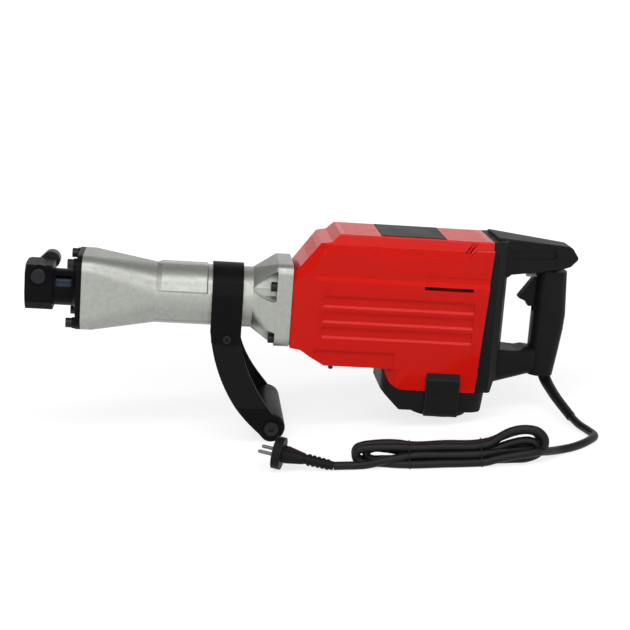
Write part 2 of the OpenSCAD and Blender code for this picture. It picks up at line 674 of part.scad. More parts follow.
brush_cover_x = x_motor + 3.5 - brush_cover_w / 2;
pocket_x = [x_cover + 40, x_back - 16];
pocket_top = 20.5;                     // top of the highest side pocket
slope_l = norm([x_slope - x_cover, roof_z - 13 - 44]);
slope_a = atan2(roof_z - 13 - 44, x_slope - x_cover);
// one long pocket in both sides: square at its top, its lower face sloping out
module side_pocket(x0, x1, top, h, depth) both_sides() run_x(x0, x1) polygon([
    [-cover_half - 1, top], [depth - cover_half, top - 0.3 * depth], [depth - cover_half, top + 4 - h],
    [-cover_half - 1, top - h]]);

module cover_shell() difference() {
    union() {
        cover_block(0);
        skirt_block(0);
        // the sides rise to the rear
        both_sides() intersection() {
            run_y(ledge_in - cover_half, -54) polygon([
                [x_back - 33, step_z - 2], [x_back - 17.5, 91], [x_edge(91), 91],
                [x_edge(step_z - 2), step_z - 2]]);
            run_x(x_cover, x_back + 20) polygon([
                [-61, 60], [-61, 87], [-57.5, 91.5], [-50, 91.5], [-50, 60]]);
        }
        // raised blank field in each side
        both_sides() translate([x_motor - 82, ledge_in - 0.6 - cover_half, 53.5]) cube([21, 2, 4]);
    }
    difference() {
        cover_block(shell_t);
        // walls round the motor stay
        translate([x_skirt - 4, -70, -belly_z - 2]) cube([4, 140, belly_z - 52]);
    }
    skirt_block(shell_t);
    for (i = [0 : 2])
        side_pocket(pocket_x[0], pocket_x[1], pocket_top - i * pocket_pitch, pocket_h, pocket_depth);
    side_pocket(x_slope - 2, x_skirt + 11, -53, 34, pocket_depth);
    // cooling slots: one long one in each side, ten down the front slope
    both_sides() slot_y(x_motor - 32, x_motor + 34, ledge_z - 5.4, ledge_z - 0.8,
        -cover_half - 1, 8 - cover_half);
    translate([x_cover, 0, 44]) rotate([0, -slope_a, 0]) for (i = [-4.5 : 4.5])
        translate([slope_l / 2, 9 * i - 1.2, -shell_t - 1]) cube([slope_l / 2 - 9, 2.4, 9]);
    both_sides() translate([x_motor - 32, -cover_half, 51.6]) cube([90, ledge_in + 0.8, 1.2]);
}
module lid_region(clear) run_y(-80, 80) polygon([
    [x_slope + 2 - clear, lid_z - clear], [x_back + 20, lid_z - clear], [x_back + 20, roof_z + 5],
    [x_slope + 2 - clear, roof_z + 5]]);

module body_cover() color("#d0160c") pose() difference() {
    cover_shell();
    translate([x_drain, 0, 0]) rod_z(-belly_z - 1, 4 - belly_z, 3 + gap);
    intersection() {
        lid_region(gap);
        run_x(x_cover, x_back + 20)
            translate([0, lid_z]) square([2 * lid_side + 0.2, 40], center = true);
    }
}

plate_x = x_roof + 55;
plate_l = 87;
plate_w = 90;
module roof_cover() color("#d0160c") pose() difference() {
    intersection() {
        cover_shell();
        lid_region(0);
        run_x(x_cover, x_back + 20)
            translate([0, lid_z]) square([2 * lid_side + 0.1, 40], center = true);
    }
    // grooves in front of and behind the name plate
    for (i = [-4 : 4]) {
        translate([x_roof + 6, 9.6 * i - 1, roof_z - 0.8]) cube([plate_x - x_roof - 9, 2, 2]);
        translate([plate_x + plate_l + 3, 9.6 * i - 1, roof_z - 0.8])
            cube([x_back - 6 - plate_x - plate_l, 2, 2]);
    }
    // V-shaped channel where the raised band ends
    both_sides() for (dx = [0, 5]) run_y(-62, -49.5) polygon([
        [x_back - 37 + dx, 82], [x_back - 34.8 + dx, 82], [x_back - 20.8 + dx, 99], [x_back - 23 + dx, 99]]);
}
module name_plate() color("#1b1b1c") pose()
    translate([plate_x, -plate_w / 2, roof_z]) cube([plate_l, plate_w, 0.8]);
module drain_plug() color("#141414") pose() translate([x_drain, 0, 0]) {
    rod_z(-belly_z - 6, -belly_z - gap, 5.5);
    rod_z(-belly_z - 1, 3 - belly_z, 3);
}

// ---- motor end --------------------------------------------------------------------------------
end_front = x_motor - 77;
end_rear = x_motor + 66;
module end_outline(t) union() {
    translate([0, -1]) motor_outline(end_front + t, x_motor, cover_half - t, skirt_corner - t);
    mirror([1, 0]) translate([-2 * x_motor, 0])
        motor_outline(end_front + t, x_motor + 1, cover_half - t, skirt_corner - t);
}
module motor_end_housing() color("#1a1a1b") pose() difference() {
    intersection() {
        run_z(-end_z, -belly_z - 7 - gap) union() {
            motor_outline(end_front, x_motor, cover_half, skirt_corner);
            translate([2 * x_motor, 0]) mirror([1, 0]) motor_outline(
                2 * x_motor - end_rear, x_motor + 1, cover_half, skirt_corner);
        }
        run_y(-cover_half, cover_half) polygon(concat(
            [[end_front + 24, -end_z], [end_front, -end_z + 22], [end_front, -belly_z - 7 - gap]],
            skirt_curve(gap),
            [[end_rear - 2, -skirt_z - gap], [end_rear - 6.5, 2 - end_z], [end_rear - 9, -end_z]]));
    }
    // room for the commutator, the brushes and the lower bearing
    translate([x_motor, 0, 0]) {
        rod_z(brush_z - 12, 0, stator_d / 2 + 4 + gap);
        rod_z(brush_z - 21, brush_z, 13 + bearing_fit);
        both_sides() translate([-7 - gap, -54 - gap, brush_z - 12]) cube([14 + 2 * gap, 50, 40]);
    }
    for (a = screw_ring) translate([x_cap, 0, -end_z - 1]) rotate(a) translate([cap_r + 7, 0, 0])
        cylinder(h = 15, r = 2.5 + gap);
}
screw_ring = [45 : 90 : 315];
module motor_end_cap() color("#1f1f20") pose() translate([x_cap, 0, 0]) difference() {
    rod_z(-cap_z, -end_z - gap, cap_r);
    for (a = [0 : 45 : 315]) rotate(a) translate([18, -2, -cap_z - 1]) cube([14, 4, 4]);
}
module end_cap_screws() color("#8e9194") pose() translate([x_cap, 0, 0])
    for (a = screw_ring) rotate(a) translate([cap_r + 7, 0, 0]) {
        rod_z(-end_z - 3, -end_z - gap, 4.5);
        rod_z(-end_z - 1, 13 - end_z, 2.5);
    }
brush_low = -end_z - 7;                 // the brush covers reach below the housing
module brush_covers() color("#1d1d1e") pose() both_sides() intersection() {
    translate([brush_cover_x, -cover_half - 4, brush_low])
        cube([brush_cover_w, 4 - gap, -belly_z - brush_low]);
    run_x(brush_cover_x, brush_cover_x + brush_cover_w) polygon([
        [-cover_half, brush_low], [-cover_half - 2, brush_low], [-cover_half - 4, brush_low + 3],
        [-cover_half - 4, -belly_z - 11], [-cover_half, -belly_z - 1.5]]);
}

// ---- rear handle ------------------------------------------------------------------------------
base_half = 60;
x_base = x_back + 0.4;
grip_low = z_open - 36;                // underside of the grip, where the lead comes out
switch_x = x_grip + 19.5;
trigger_at = [x_grip + 8, 44];
lock_z = opening_top - 5.5;
lead_x = x_grip + 26;
relief_r = 8.8;
module handle_section(x, w, z0, z1, r) translate([0, 0, (z0 + z1) / 2])
    run_x(x, x + 1) round_rect(w, z1 - z0, r, $fn = soft_fn);
module grip_section(z, d) run_z(z, z + 1)
    translate([x_grip + d / 2, 0]) round_rect(d, grip_w, 16, $fn = soft_fn);

module handle_solid() difference() {
    union() {
        intersection() {
            run_y(-base_half, base_half) polygon([
                [x_base - back_lean * (skirt_z - gap), gap - skirt_z], [x_open - 14, gap - skirt_z],
                [x_open - 10, 12.5 - skirt_z], [x_open, 32.5 - skirt_z], [x_open, roof_z + 2],
                [x_base + back_lean * roof_z, roof_z]]);
            run_z(-skirt_z - 1, roof_z + 3) polygon([
                [x_back - 10, -base_half], [x_back + 13, -base_half], [x_back + 24, -48], [x_open, -30],
                [x_open, 30], [x_back + 24, 48], [x_back + 13, base_half], [x_back - 10, base_half]]);
            run_x(x_back - 10, x_open + 1) polygon([
                [-base_half, -skirt_z], [-base_half, 88], [-48, roof_z + 2], [48, roof_z + 2],
                [base_half, 88], [base_half, -skirt_z]]);
        }
        hull() {
            handle_section(x_back + 13, 92, opening_top - 8, roof_z + 5, 14);
            handle_section(x_grip + 24, 50, opening_top + 3, z_knob + 17.5, 14);
            translate([x_knob - 10, 0, z_knob + 7]) rod_y(-19, 19, 9, $fn = soft_fn);
            translate([x_knob, 0, z_knob]) rod_y(-18, 18, knob_r, $fn = soft_fn);
            translate([x_knob - 7, 0, z_knob - 7.5]) rod_y(-18, 18, knob_r, $fn = soft_fn);
        }
        hull() {
            grip_section(opening_top + 2, grip_depth - 3.8);
            grip_section(0, grip_depth);
            grip_section(-20, grip_depth - 1);
            grip_section(z_open - 5, grip_depth - 5.2);
            grip_section(z_open - 31, grip_depth - 9.5);
            grip_section(grip_low, grip_depth - 9.5);
        }
        hull() {
            handle_section(x_back + 15, 60, 2 - skirt_z, z_open + 7, 12);
            handle_section(x_grip + 6, 38, grip_low + 2.5, z_open + 2, 12);
        }
    }
    // hand opening
    run_y(-base_half - 1, base_half + 1) polygon([
        [x_open, z_open + 2], [x_open + 3, z_open], [x_open + 26, z_open - 2], [x_grip - 13, z_open],
        [x_grip - 4, z_open + 5], [x_grip, z_open + 14], [x_grip, opening_top], [x_grip - 3, opening_top + 3],
        [x_open + 4, opening_top], [x_open, opening_top - 5], [x_open, opening_top - 10],
        [x_open + 1.2, opening_top - 12], [x_open + 1.2, opening_top - 18], [x_open, opening_top - 20]]);
    // hollow base, open towards the motor
    intersection() {
        translate([x_back - 20, -54, 5 - skirt_z]) cube([33, 108, skirt_z + roof_z - 14]);
        run_z(-skirt_z, roof_z) polygon([
            [x_back - 20, -54], [x_back + 10, -54], [x_back + 13, -50], [x_back + 13, 50],
            [x_back + 10, 54], [x_back - 20, 54]]);
    }
    // pockets for the switch, the trigger and its lock
    translate([switch_x - run, -12 - run, -14 - run]) cube([20 + 2 * run, 24 + 2 * run, 50 + 2 * run]);
    translate([x_grip - 4, -7.6, 2]) cube([25, 15.2, 51]);
    translate([trigger_at[0], 0, trigger_at[1]]) rod_y(-11.5, 11.5, 2.5 + gap);
    translate([0, 0, lock_z]) rod_x(x_grip - 4, x_grip + 13, 2.8 + gap);
    // way for the lead
    translate([lead_x, 0, 0]) rod_z(-120, z_open - 21, relief_r + gap);
    translate([lead_x, 0, 0]) rod_z(-80, -10, 6);
    // long groove in each side of the upper arm
    both_sides() translate([x_open, -41.7, 0]) rotate([0, 0, 13.4])
        slot_y(2, 68, opening_top + 21, opening_top + 34, -6, 1.6);
    for (p = screw_places) translate([p[0], 0, p[1]]) {
        rod_y(p[2], 80, 4.8);
        rod_y(-12.5, p[2] + 1, 2 + gap);
    }
}
// x, z and depth of the handle screws, which go in from the far side
screw_places = [[x_open + 4, opening_top + 14, 24], [x_back + 18, 14, 24], [x_back + 17, z_open + 14, 24],
    [x_back + 25, z_open - 30, 18], [x_grip + 12, z_open + 20, 13]];
module half_of(side) intersection() {
    children();
    translate([x_back - 30, side > 0 ? gap / 2 : -100, -130]) cube([220, 100 - gap / 2, 260]);
}
module handle_shell_near() color("#1c1c1d") pose() half_of(-1) handle_solid();
module handle_shell_far() color("#1c1c1d") pose() half_of(1) handle_solid();
module handle_screws() color("#9a9da0") pose() for (p = screw_places)
    translate([p[0], p[2], p[1]]) difference() {
        union() {
            rod_y(gap, 3, 4.2);
            rod_y(-12 - p[2], 1, 2);
        }
        translate([-0.5, 1.8, -3]) cube([1, 2.2, 6]);
        translate([-3, 1.8, -0.5]) cube([6, 2.2, 1]);
    }
module switch_body() color("#303133") pose()
    translate([switch_x, -12, -14]) cube([20, 24, 50]);
module trigger() color("#101011") pose() union() {
    run_y(-7, 7) polygon(concat(
        [[x_grip - 4, 47.6]],
        curve([x_grip - 22, 21.4], [x_grip - 22, 18.6], [x_grip - 18, 18], 4),
        curve([x_grip - 18, 18], [x_grip - 9, 15], [x_grip - 7.6, 9], 6),
        [[x_grip + 9, 9], [x_grip + 13, 40], [x_grip + 12, 46], [x_grip + 4, 47.6]]));
    translate([trigger_at[0], 0, trigger_at[1]]) rod_y(-11, 11, 2.5);
}
module trigger_lock() color("#d7d7d2") pose() translate([0, 0, lock_z]) rod_x(x_grip - 13, x_grip + 9, 2.8);

// ---- side handle ------------------------------------------------------------------------------
clamp_x = x_strap + strap_w / 2 + 2;
clamp_z = -strap_in - 8;
spread_z = 8.5 - clamp_z;              // the arms stay upright down to here, past the clamp bolt
grip_bolt_r = 4;
tip_r = 15.4;

module side_handle_strap() color("#1a1a1b") pose() difference() {
    intersection() {
        // seen from the side: a wide band that narrows and sweeps back to the grip
        run_y(-arm_out - 1, arm_out + 1) union() {
            polygon(concat(
                [[x_strap, strap_out + 1], [x_strap, -40]],
                curve([x_strap, -40], [x_strap + 9, -118], [x_side_grip - 14, -side_grip_z - 10], 16),
                [[x_side_grip - 4, -side_grip_z - 4], [x_side_grip + 12, -side_grip_z + 10]],
                curve([x_side_grip + 2, 17 - side_grip_z], [x_strap + strap_w + 4, -92],
                    [x_strap + strap_w, -48], 14),
                [[x_strap + strap_w, strap_out + 1]]));
            translate([x_side_grip, -side_grip_z - 3]) circle(tip_r);
        }
        // seen from the front: a half ring over the barrel, and two arms that spread to the grip
        run_x(x_strap - 1, x_side_grip + tip_r + 1) difference() {
            union() {
                circle(strap_out);
                polygon([
                    [-strap_out, 0], [-strap_out, -spread_z], [-arm_out, -134],
                    [-arm_out, -side_grip_z - 20], [arm_out, -side_grip_z - 20], [arm_out, -134],
                    [strap_out, -spread_z], [strap_out, 0]]);
            }
            circle(strap_in);
            polygon([
                [-strap_in, 0], [-strap_in, -spread_z - 1], [-arm_out + strap_t, -135],
                [-arm_out + strap_t, -side_grip_z - 21], [arm_out - strap_t, -side_grip_z - 21],
                [arm_out - strap_t, -135], [strap_in, -spread_z - 1], [strap_in, 0]]);
        }
    }
    translate([clamp_x, 0, clamp_z]) rod_y(-60, 60, 4 + gap);
    translate([x_side_grip, 0, -side_grip_z]) rod_y(-90, 90, grip_bolt_r + gap);
}
module side_handle_saddle() color("#252526") pose() difference() {
    translate([x_strap + 2, gap - strap_in, clamp_z - 8])
        cube([strap_w - 4, 2 * (strap_in - gap), -clamp_z - 4]);
    rod_x(x_strap - 3, x_strap + strap_w + 3, strap_in);
    translate([clamp_x, 0, clamp_z]) rod_y(-60, 60, 4 + gap);
    translate([x_strap - 3, -13, clamp_z - 13]) cube([strap_w + 6, 26, 7.5]);
}
module side_handle_clamp_bolt() color("#a7aaad") pose() translate([clamp_x, 0, clamp_z]) difference() {
    union() {
        rod_y(-strap_out - 6.5, -strap_out - gap, 5.5);
        rod_y(-strap_out - 1, strap_out + 9, 4);
        translate([0, strap_out + gap, 0]) rotate([-90, 0, 0]) cylinder(h = 6.5, r = 7.5, $fn = 6);
    }
    translate([0, -strap_out - 7, 0]) rotate([-90, 0, 0]) cylinder(h = 4, r = 3, $fn = 6);
}
module side_handle_grip() color("#202021") pose() translate([x_side_grip, 0, -side_grip_z]) difference() {
    rod_y(gap - side_grip_l / 2, side_grip_l / 2 - gap, side_grip_d / 2);
    rod_y(-side_grip_l, side_grip_l, grip_bolt_r + gap);
}
module side_handle_grip_bolt() color("#2a2a2b") pose() translate([x_side_grip, 0, -side_grip_z]) {
    difference() {
        union() {
            rod_y(-arm_out - 4.5, -arm_out - gap, 9.5);
            rod_y(-arm_out - 1, arm_out + 4.5, grip_bolt_r);
            translate([0, arm_out + gap, 0]) rotate([-90, 0, 0]) cylinder(h = 4.4 - gap, r = 9, $fn = 6);
        }
        translate([0, -arm_out - 5, 0]) rotate([-90, 0, 0]) cylinder(h = 3, r = 4, $fn = 6);
    }
}

// ---- mains lead (in the resting frame) --------------------------------------------------------
cord_r = cord_d / 2;
function to_floor(p) = [
    p[0] * cos(tilt) + p[2] * sin(tilt) - mid_x, p[1], p[2] * cos(tilt) - p[0] * sin(tilt) + axis_h];
relief_root = [to_floor([lead_x, 0, z_open - 22]), to_floor([lead_x, 0, grip_low - 1])];
relief_way = concat(relief_root, [[329, -5, 35], [331, -17, 29], [334, -46, 21], [340, -98, 11]]);
lead_way = [
    [340, -98, 11], [345, -122, 7], [351, -145, 5.6], [353, -168, 5.4], [340, -185.5, 5.4],
    [318, -203, 5.4], [294, -216, 7], [274, -232, 12]];
tail_way = [[49, -213, 5.3], [35, -212, 5.4], [24, -211, 5.7], [12, -210, 6]];
hank_at = [163, -220];
hank_turn = -8;
hank_w = 34;
// the hank's outline from its side: x, z and radius of its left end, its waist and its raised right end
hank_ends = [[-111.5, 17.7, 17.5], [45, 16.2, 16], [98, 24.8, 24.6]];
plug_at = [-54.5, -189.5, 21.5];
plug_turn = atan2(tail_way[3][1] - plug_at[1], tail_way[3][0] - plug_at[0]);
plug_l = norm(tail_way[3] - plug_at);
plug_dip = asin((plug_at[2] - tail_way[3][2]) / plug_l);

// smooth curve through the points, k steps from each to the next
function along(p, i, t) = let (
        n = len(p) - 1, a = p[max(0, i - 1)], b = p[i], c = p[min(n, i + 1)], d = p[min(n, i + 2)])
    0.5 * (2 * b + t * (c - a) + t * t * (2 * a - 5 * b + 4 * c - d) + t * t * t * (3 * b - a - 3 * c + d));
function smooth(p, k) = concat([for (i = [0 : len(p) - 2], j = [0 : k - 1]) along(p, i, j / k)],
    [p[len(p) - 1]]);
function heading(p, i) = unit(p[min(len(p) - 1, i + 1)] - p[max(0, i - 1)]);
// an upright direction across the curve at point i, carried from ring to ring without twist
function across(p, i) = i == 0 ? unit(cross(heading(p, 0), [0.3, 1, 0.1]))
    : let (h = heading(p, i), u = across(p, i - 1)) unit(u - (u * h) * h);
module sweep_round(p, r0, r1, sides) {
    n = len(p);
    rings = [for (i = [0 : n - 1]) let (h = heading(p, i), u = across(p, i), v = cross(h, u),
        r = r0 + (r1 - r0) * i / (n - 1))
        for (k = [0 : sides - 1]) p[i] + r * (cos(360 * k / sides) * u + sin(360 * k / sides) * v)];
    polyhedron(rings, concat(
        [[for (k = [0 : sides - 1]) k]],
        [for (i = [0 : n - 2], k = [0 : sides - 1]) let (a = i * sides + k, b = i * sides + (k + 1) % sides)
            [a, a + sides, b + sides, b]],
        [[for (k = [sides - 1 : -1 : 0]) (n - 1) * sides + k]]));
}

module strain_relief() color("#161617") sweep_round(smooth(relief_way, 4), relief_r, cord_r + 1.2, 20);
module cord_lead() color("#1b1b1c") sweep_round(smooth(lead_way, 2), cord_r, cord_r, 12);
module cord_hank() color("#1b1b1c") translate([hank_at[0], hank_at[1], 0]) rotate(hank_turn)
    run_y(-hank_w / 2, hank_w / 2) for (i = [0, 1]) hull() for (e = [hank_ends[i], hank_ends[i + 1]])
        translate([e[0], e[1]]) circle(e[2], $fn = soft_fn);
module cord_tail() color("#1b1b1c") sweep_round(smooth(tail_way, 1), cord_r, cord_r, 12);

// the flat neck behind the disc, narrowing to the cord
module plug_neck() hull() {
    run_x(5, 12) round_rect(26, 18, 7, $fn = soft_fn);
    run_x(28, 34) round_rect(15, 13, 6, $fn = soft_fn);
}
module at_plug() translate(plug_at) rotate([0, plug_dip, plug_turn]) children();
module plug_body() color("#1c1c1d") at_plug() difference() {
    union() {
        rod_x(-5, 6, 20.5);
        plug_neck();
        rod_x(33, plug_l - 0.2, 6.2, cord_r + 0.3);
        for (i = [0 : 4]) rod_x(38 + 6 * i, 41.5 + 6 * i, 7.5 - 0.2 * i);
    }
    for (s = [-1, 1]) translate([0, 9.5 * s, 0]) rod_x(-6, 3, 2.3 + gap);
}
module plug_pins() color("#c8cacc") at_plug() for (s = [-1, 1]) translate([0, 9.5 * s, 0]) {
    rod_x(-22.5, 3, 2.3);
    rod_x(-24, -22.4, 1.4, 2.3);
}

front_cover();
front_cover_bolts();
tool_retainer();
tool_sleeve();
impact_bolt();
impact_bolt_guide();
cylinder_case();
cylinder_case_bolts();
cylinder_liner();
striker();
striker_ring();
piston();
piston_ring();
wrist_pin();
connecting_rod();
big_end_bearing();
crankshaft();
crank_gear();
crank_bearings();
countershaft();
fast_gear();
countershaft_bearings();
armature_shaft();
armature_core();
commutator();
cooling_fan();
motor_bearings();
stator_core();
field_coils();
motor_tube();
carbon_brushes();
brush_holders();
crank_housing();
gear_plate();
gear_cover();
body_cover();
roof_cover();
name_plate();
drain_plug();
brush_covers();
motor_end_housing();
motor_end_cap();
end_cap_screws();
handle_shell_near();
handle_shell_far();
handle_screws();
switch_body();
trigger();
trigger_lock();
side_handle_strap();
side_handle_saddle();
side_handle_clamp_bolt();
side_handle_grip();
side_handle_grip_bolt();
strain_relief();
cord_lead();
cord_hank();
cord_tail();
plug_body();
plug_pins();
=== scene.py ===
"""An electric demolition hammer on a studio floor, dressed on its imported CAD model."""

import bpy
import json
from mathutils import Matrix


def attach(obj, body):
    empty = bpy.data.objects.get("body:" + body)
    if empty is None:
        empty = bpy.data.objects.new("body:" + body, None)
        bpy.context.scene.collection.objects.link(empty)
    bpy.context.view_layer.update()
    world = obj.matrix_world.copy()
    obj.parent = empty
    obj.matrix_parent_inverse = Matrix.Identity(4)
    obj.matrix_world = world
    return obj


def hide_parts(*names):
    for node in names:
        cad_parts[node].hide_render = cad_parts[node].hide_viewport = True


bl_info = {
    "name": "Demolition hammer",
    "version": (1, 0, 0),
    "blender": (4, 5, 0),
    "location": "View3D > Sidebar > Hammer",
    "description": "Builds the finishes, the mains lead and the studio of a demolition hammer",
    "category": "Object",
}

import json
import math

import bmesh
import bpy
from bpy.props import FloatProperty, PointerProperty, StringProperty
from mathutils import Matrix, Vector

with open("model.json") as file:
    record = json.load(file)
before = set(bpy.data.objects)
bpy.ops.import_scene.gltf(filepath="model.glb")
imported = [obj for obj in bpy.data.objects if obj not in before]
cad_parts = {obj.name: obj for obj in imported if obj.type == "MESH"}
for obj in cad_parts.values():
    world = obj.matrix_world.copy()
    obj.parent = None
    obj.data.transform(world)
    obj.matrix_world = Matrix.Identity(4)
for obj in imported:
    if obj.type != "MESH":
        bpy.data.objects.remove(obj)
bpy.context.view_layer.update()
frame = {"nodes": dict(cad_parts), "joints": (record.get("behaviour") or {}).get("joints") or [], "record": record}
NODES = frame["nodes"]
BODY_OF = {n: body for body, members in frame["record"]["behaviour"]["bodies"].items() for n in members}
MM = 0.001

# The machine's own frame, in mm, in which it stands level: x from the nose along the barrel, y to the
# far side, z up from the barrel's axis. On the floor it lies tipped, nose up.
BARREL_WAY = next(Vector(j["axis"]) for j in frame["joints"] if j["name"] == "striker_slide")
MACHINE_AT = Vector((-369.367, 0, 218.024))

# The mains lead's middle line, in mm: out of the strain relief, down to the floor, round a bend and
# up to the hank.
LEAD = [(340, -98, 11), (345, -122, 7), (351, -145, 5.6), (353, -168, 5.4), (340, -185.5, 5.4),
        (318, -203, 5.4), (294, -216, 7), (274, -232, 12)]
# From the hank to the plug's own relief.
TAIL = [(49, -213, 5.3), (35, -212, 5.4), (24, -211, 5.7), (12, -210, 6)]
# The hank's middle on the floor, and the way it points, in degrees.
HANK_AT = (163, -220)
HANK_TURN = -8
# Where each of the seven runs lies between the ties: across the hank, and height.
RUNS = [(-11.7, 5.4), (-1.2, 23.5), (-1.2, 5.4), (4, 14.4), (9.3, 5.4), (9.3, 23.5), (-6.5, 14.4)]
# The two wire ties: their places along the hank, the wire's radius, and how far it runs outside a run's
# middle line.
TIE_X = (-56.4, 32.5)
TIE_WIRE = 0.8
TIE_REACH = 5.9
# The lead climbs over the lower loops at the hank's right end, then drops to the front.
HANK_IN = [(103, -4.5, 14.6), (90, -9, 14.2), (69, -10.8, 12.2), (48, -11.6, 8.4), (40, -11.7, 6.4)]
# The fold after each run, at the left end and the right end in turn: along, across, height.
FOLDS = [
    [(-71, -9.4, 5.4), (-98.8, -1.6, 5.4), (-114.5, -0.4, 5.6), (-120.9, 0, 8.2), (-123.5, 0, 14.6),
     (-120.9, 0, 21), (-114.5, 0, 23.6), (-101.6, -0.2, 24.5), (-88.8, -0.4, 24.9), (-71.1, -0.9, 24.3)],
    [(44, -0.3, 26), (56.5, 0.8, 33.7), (70.7, 1, 40.4), (90, 1, 42.6), (103.9, 1, 38.6),
     (111, 1, 28.3), (110, 2, 19), (102.5, 2, 10.5), (87.6, -0.8, 5.7), (69.9, -1.5, 5.4)],
    [(-71, 1.6, 6.4), (-90, 4.5, 7.6), (-103, 4.9, 8), (-108, 4.9, 10.1), (-110, 4.9, 15),
     (-108, 4.9, 19.9), (-103, 4.9, 22), (-86, 4.9, 21.4), (-71.2, 4.5, 18.4)],
    [(52.3, 4, 18.4), (70, 4.2, 23.8), (83, 4.2, 26.4), (92.5, 4.1, 26.3), (99.4, 3.9, 23.4),
     (102.3, 3.8, 16.4), (99.4, 4.4, 9.7), (92, 5.8, 6.6), (81, 8.2, 5.5), (69.9, 9.3, 5.4)],
    [(-71, 10, 5.4), (-100, 11, 5.4), (-115.1, 11.5, 5.5), (-121.6, 11.5, 8.2),
     (-124.3, 11.5, 14.7), (-121.6, 11.5, 21.2), (-115.1, 11.5, 23.9), (-102, 11.4, 25.6),
     (-88.7, 11.2, 26.3), (-70.9, 10.4, 25.7)],
    [(46, 11, 25.6), (60, 11.7, 31), (75, 11.7, 36), (85, 11.7, 37.6), (93.5, 11.7, 37.2),
     (101.6, 11.7, 33.8), (105, 11.7, 25.9), (101.6, 11.5, 17.9), (93.5, 10.8, 14.5), (82, 8.6, 14.2),
     (70, 6, 14.2), (50, -1, 14.2)]]
# The tail passes in front of the folds at the left end and comes down to the floor.
HANK_OUT = [(-71.4, -8.8, 12.8), (-89.2, -9.3, 10.4), (-101, -9.3, 7.4)]


# ---- sizes and colours ------------------------------------------------------------------------

class HammerSizes(bpy.types.PropertyGroup):
    """Sizes of the finish that a user may change"""

    cover_edge: FloatProperty(
        name="Cover edge", description="Rounding of the red cover's edges", unit="LENGTH",
        default=1.4 * MM, min=0.2 * MM, max=3 * MM)
    cast_edge: FloatProperty(
        name="Casting edge", description="Rounding of the cast and forged parts' edges",
        unit="LENGTH", default=1.2 * MM, min=0.2 * MM, max=3 * MM)
    moulded_edge: FloatProperty(
        name="Moulded edge", description="Rounding of the black moulded parts' edges",
        unit="LENGTH", default=2.6 * MM, min=0.2 * MM, max=5 * MM)
    small_edge: FloatProperty(
        name="Small edge", description="Rounding of screws, trigger and other small pieces",
        unit="LENGTH", default=0.5 * MM, min=0.1 * MM, max=1 * MM)
    lead_diameter: FloatProperty(
        name="Lead diameter", description="Outer diameter of the mains lead", unit="LENGTH",
        default=10.5 * MM, min=9 * MM, max=12 * MM)


class HammerColours(bpy.types.PropertyGroup):
    """Colours that a user may change, as sRGB hex values"""

    cover: StringProperty(name="Cover", description="Red of the moulded cover", default="#C7160D")
    black: StringProperty(name="Black", description="Black of the moulded parts", default="#101011")
    paint: StringProperty(name="Paint", description="Black of the painted steel", default="#0B0B0C")
    silver: StringProperty(name="Silver", description="Grey of the cast barrel", default="#A3A59F")
    lead: StringProperty(name="Lead", description="Black of the mains lead", default="#111113")


def sizes():
    """The sizes set in the scene."""
    return bpy.context.scene.hammer_sizes


def colours():
    """The colours set in the scene."""
    return bpy.context.scene.hammer_colours


# ---- materials --------------------------------------------------------------------------------

def linear(hexcode):
    """An sRGB hex colour as linear RGBA."""
    parts = [int(hexcode[i:i + 2], 16) / 255 for i in (1, 3, 5)]
    return (*(c / 12.92 if c <= 0.04045 else ((c + 0.055) / 1.055) ** 2.4 for c in parts), 1.0)


def add(tree, kind, inputs=(), **settings):
    """Adds a node to a tree, with its settings and what goes into it, by name or number."""
    made = tree.nodes.new(kind)
    for key, value in settings.items():
        setattr(made, key, value)
    for key, value in dict(inputs).items():
        if isinstance(value, bpy.types.NodeSocket):
            tree.links.new(value, made.inputs[key])
        else:
            made.inputs[key].default_value = value
    return made


def per_mm(size):
    """Noise scale that gives a pattern of the size in mm on Object coordinates in metres."""
    return 1 / (size * MM)


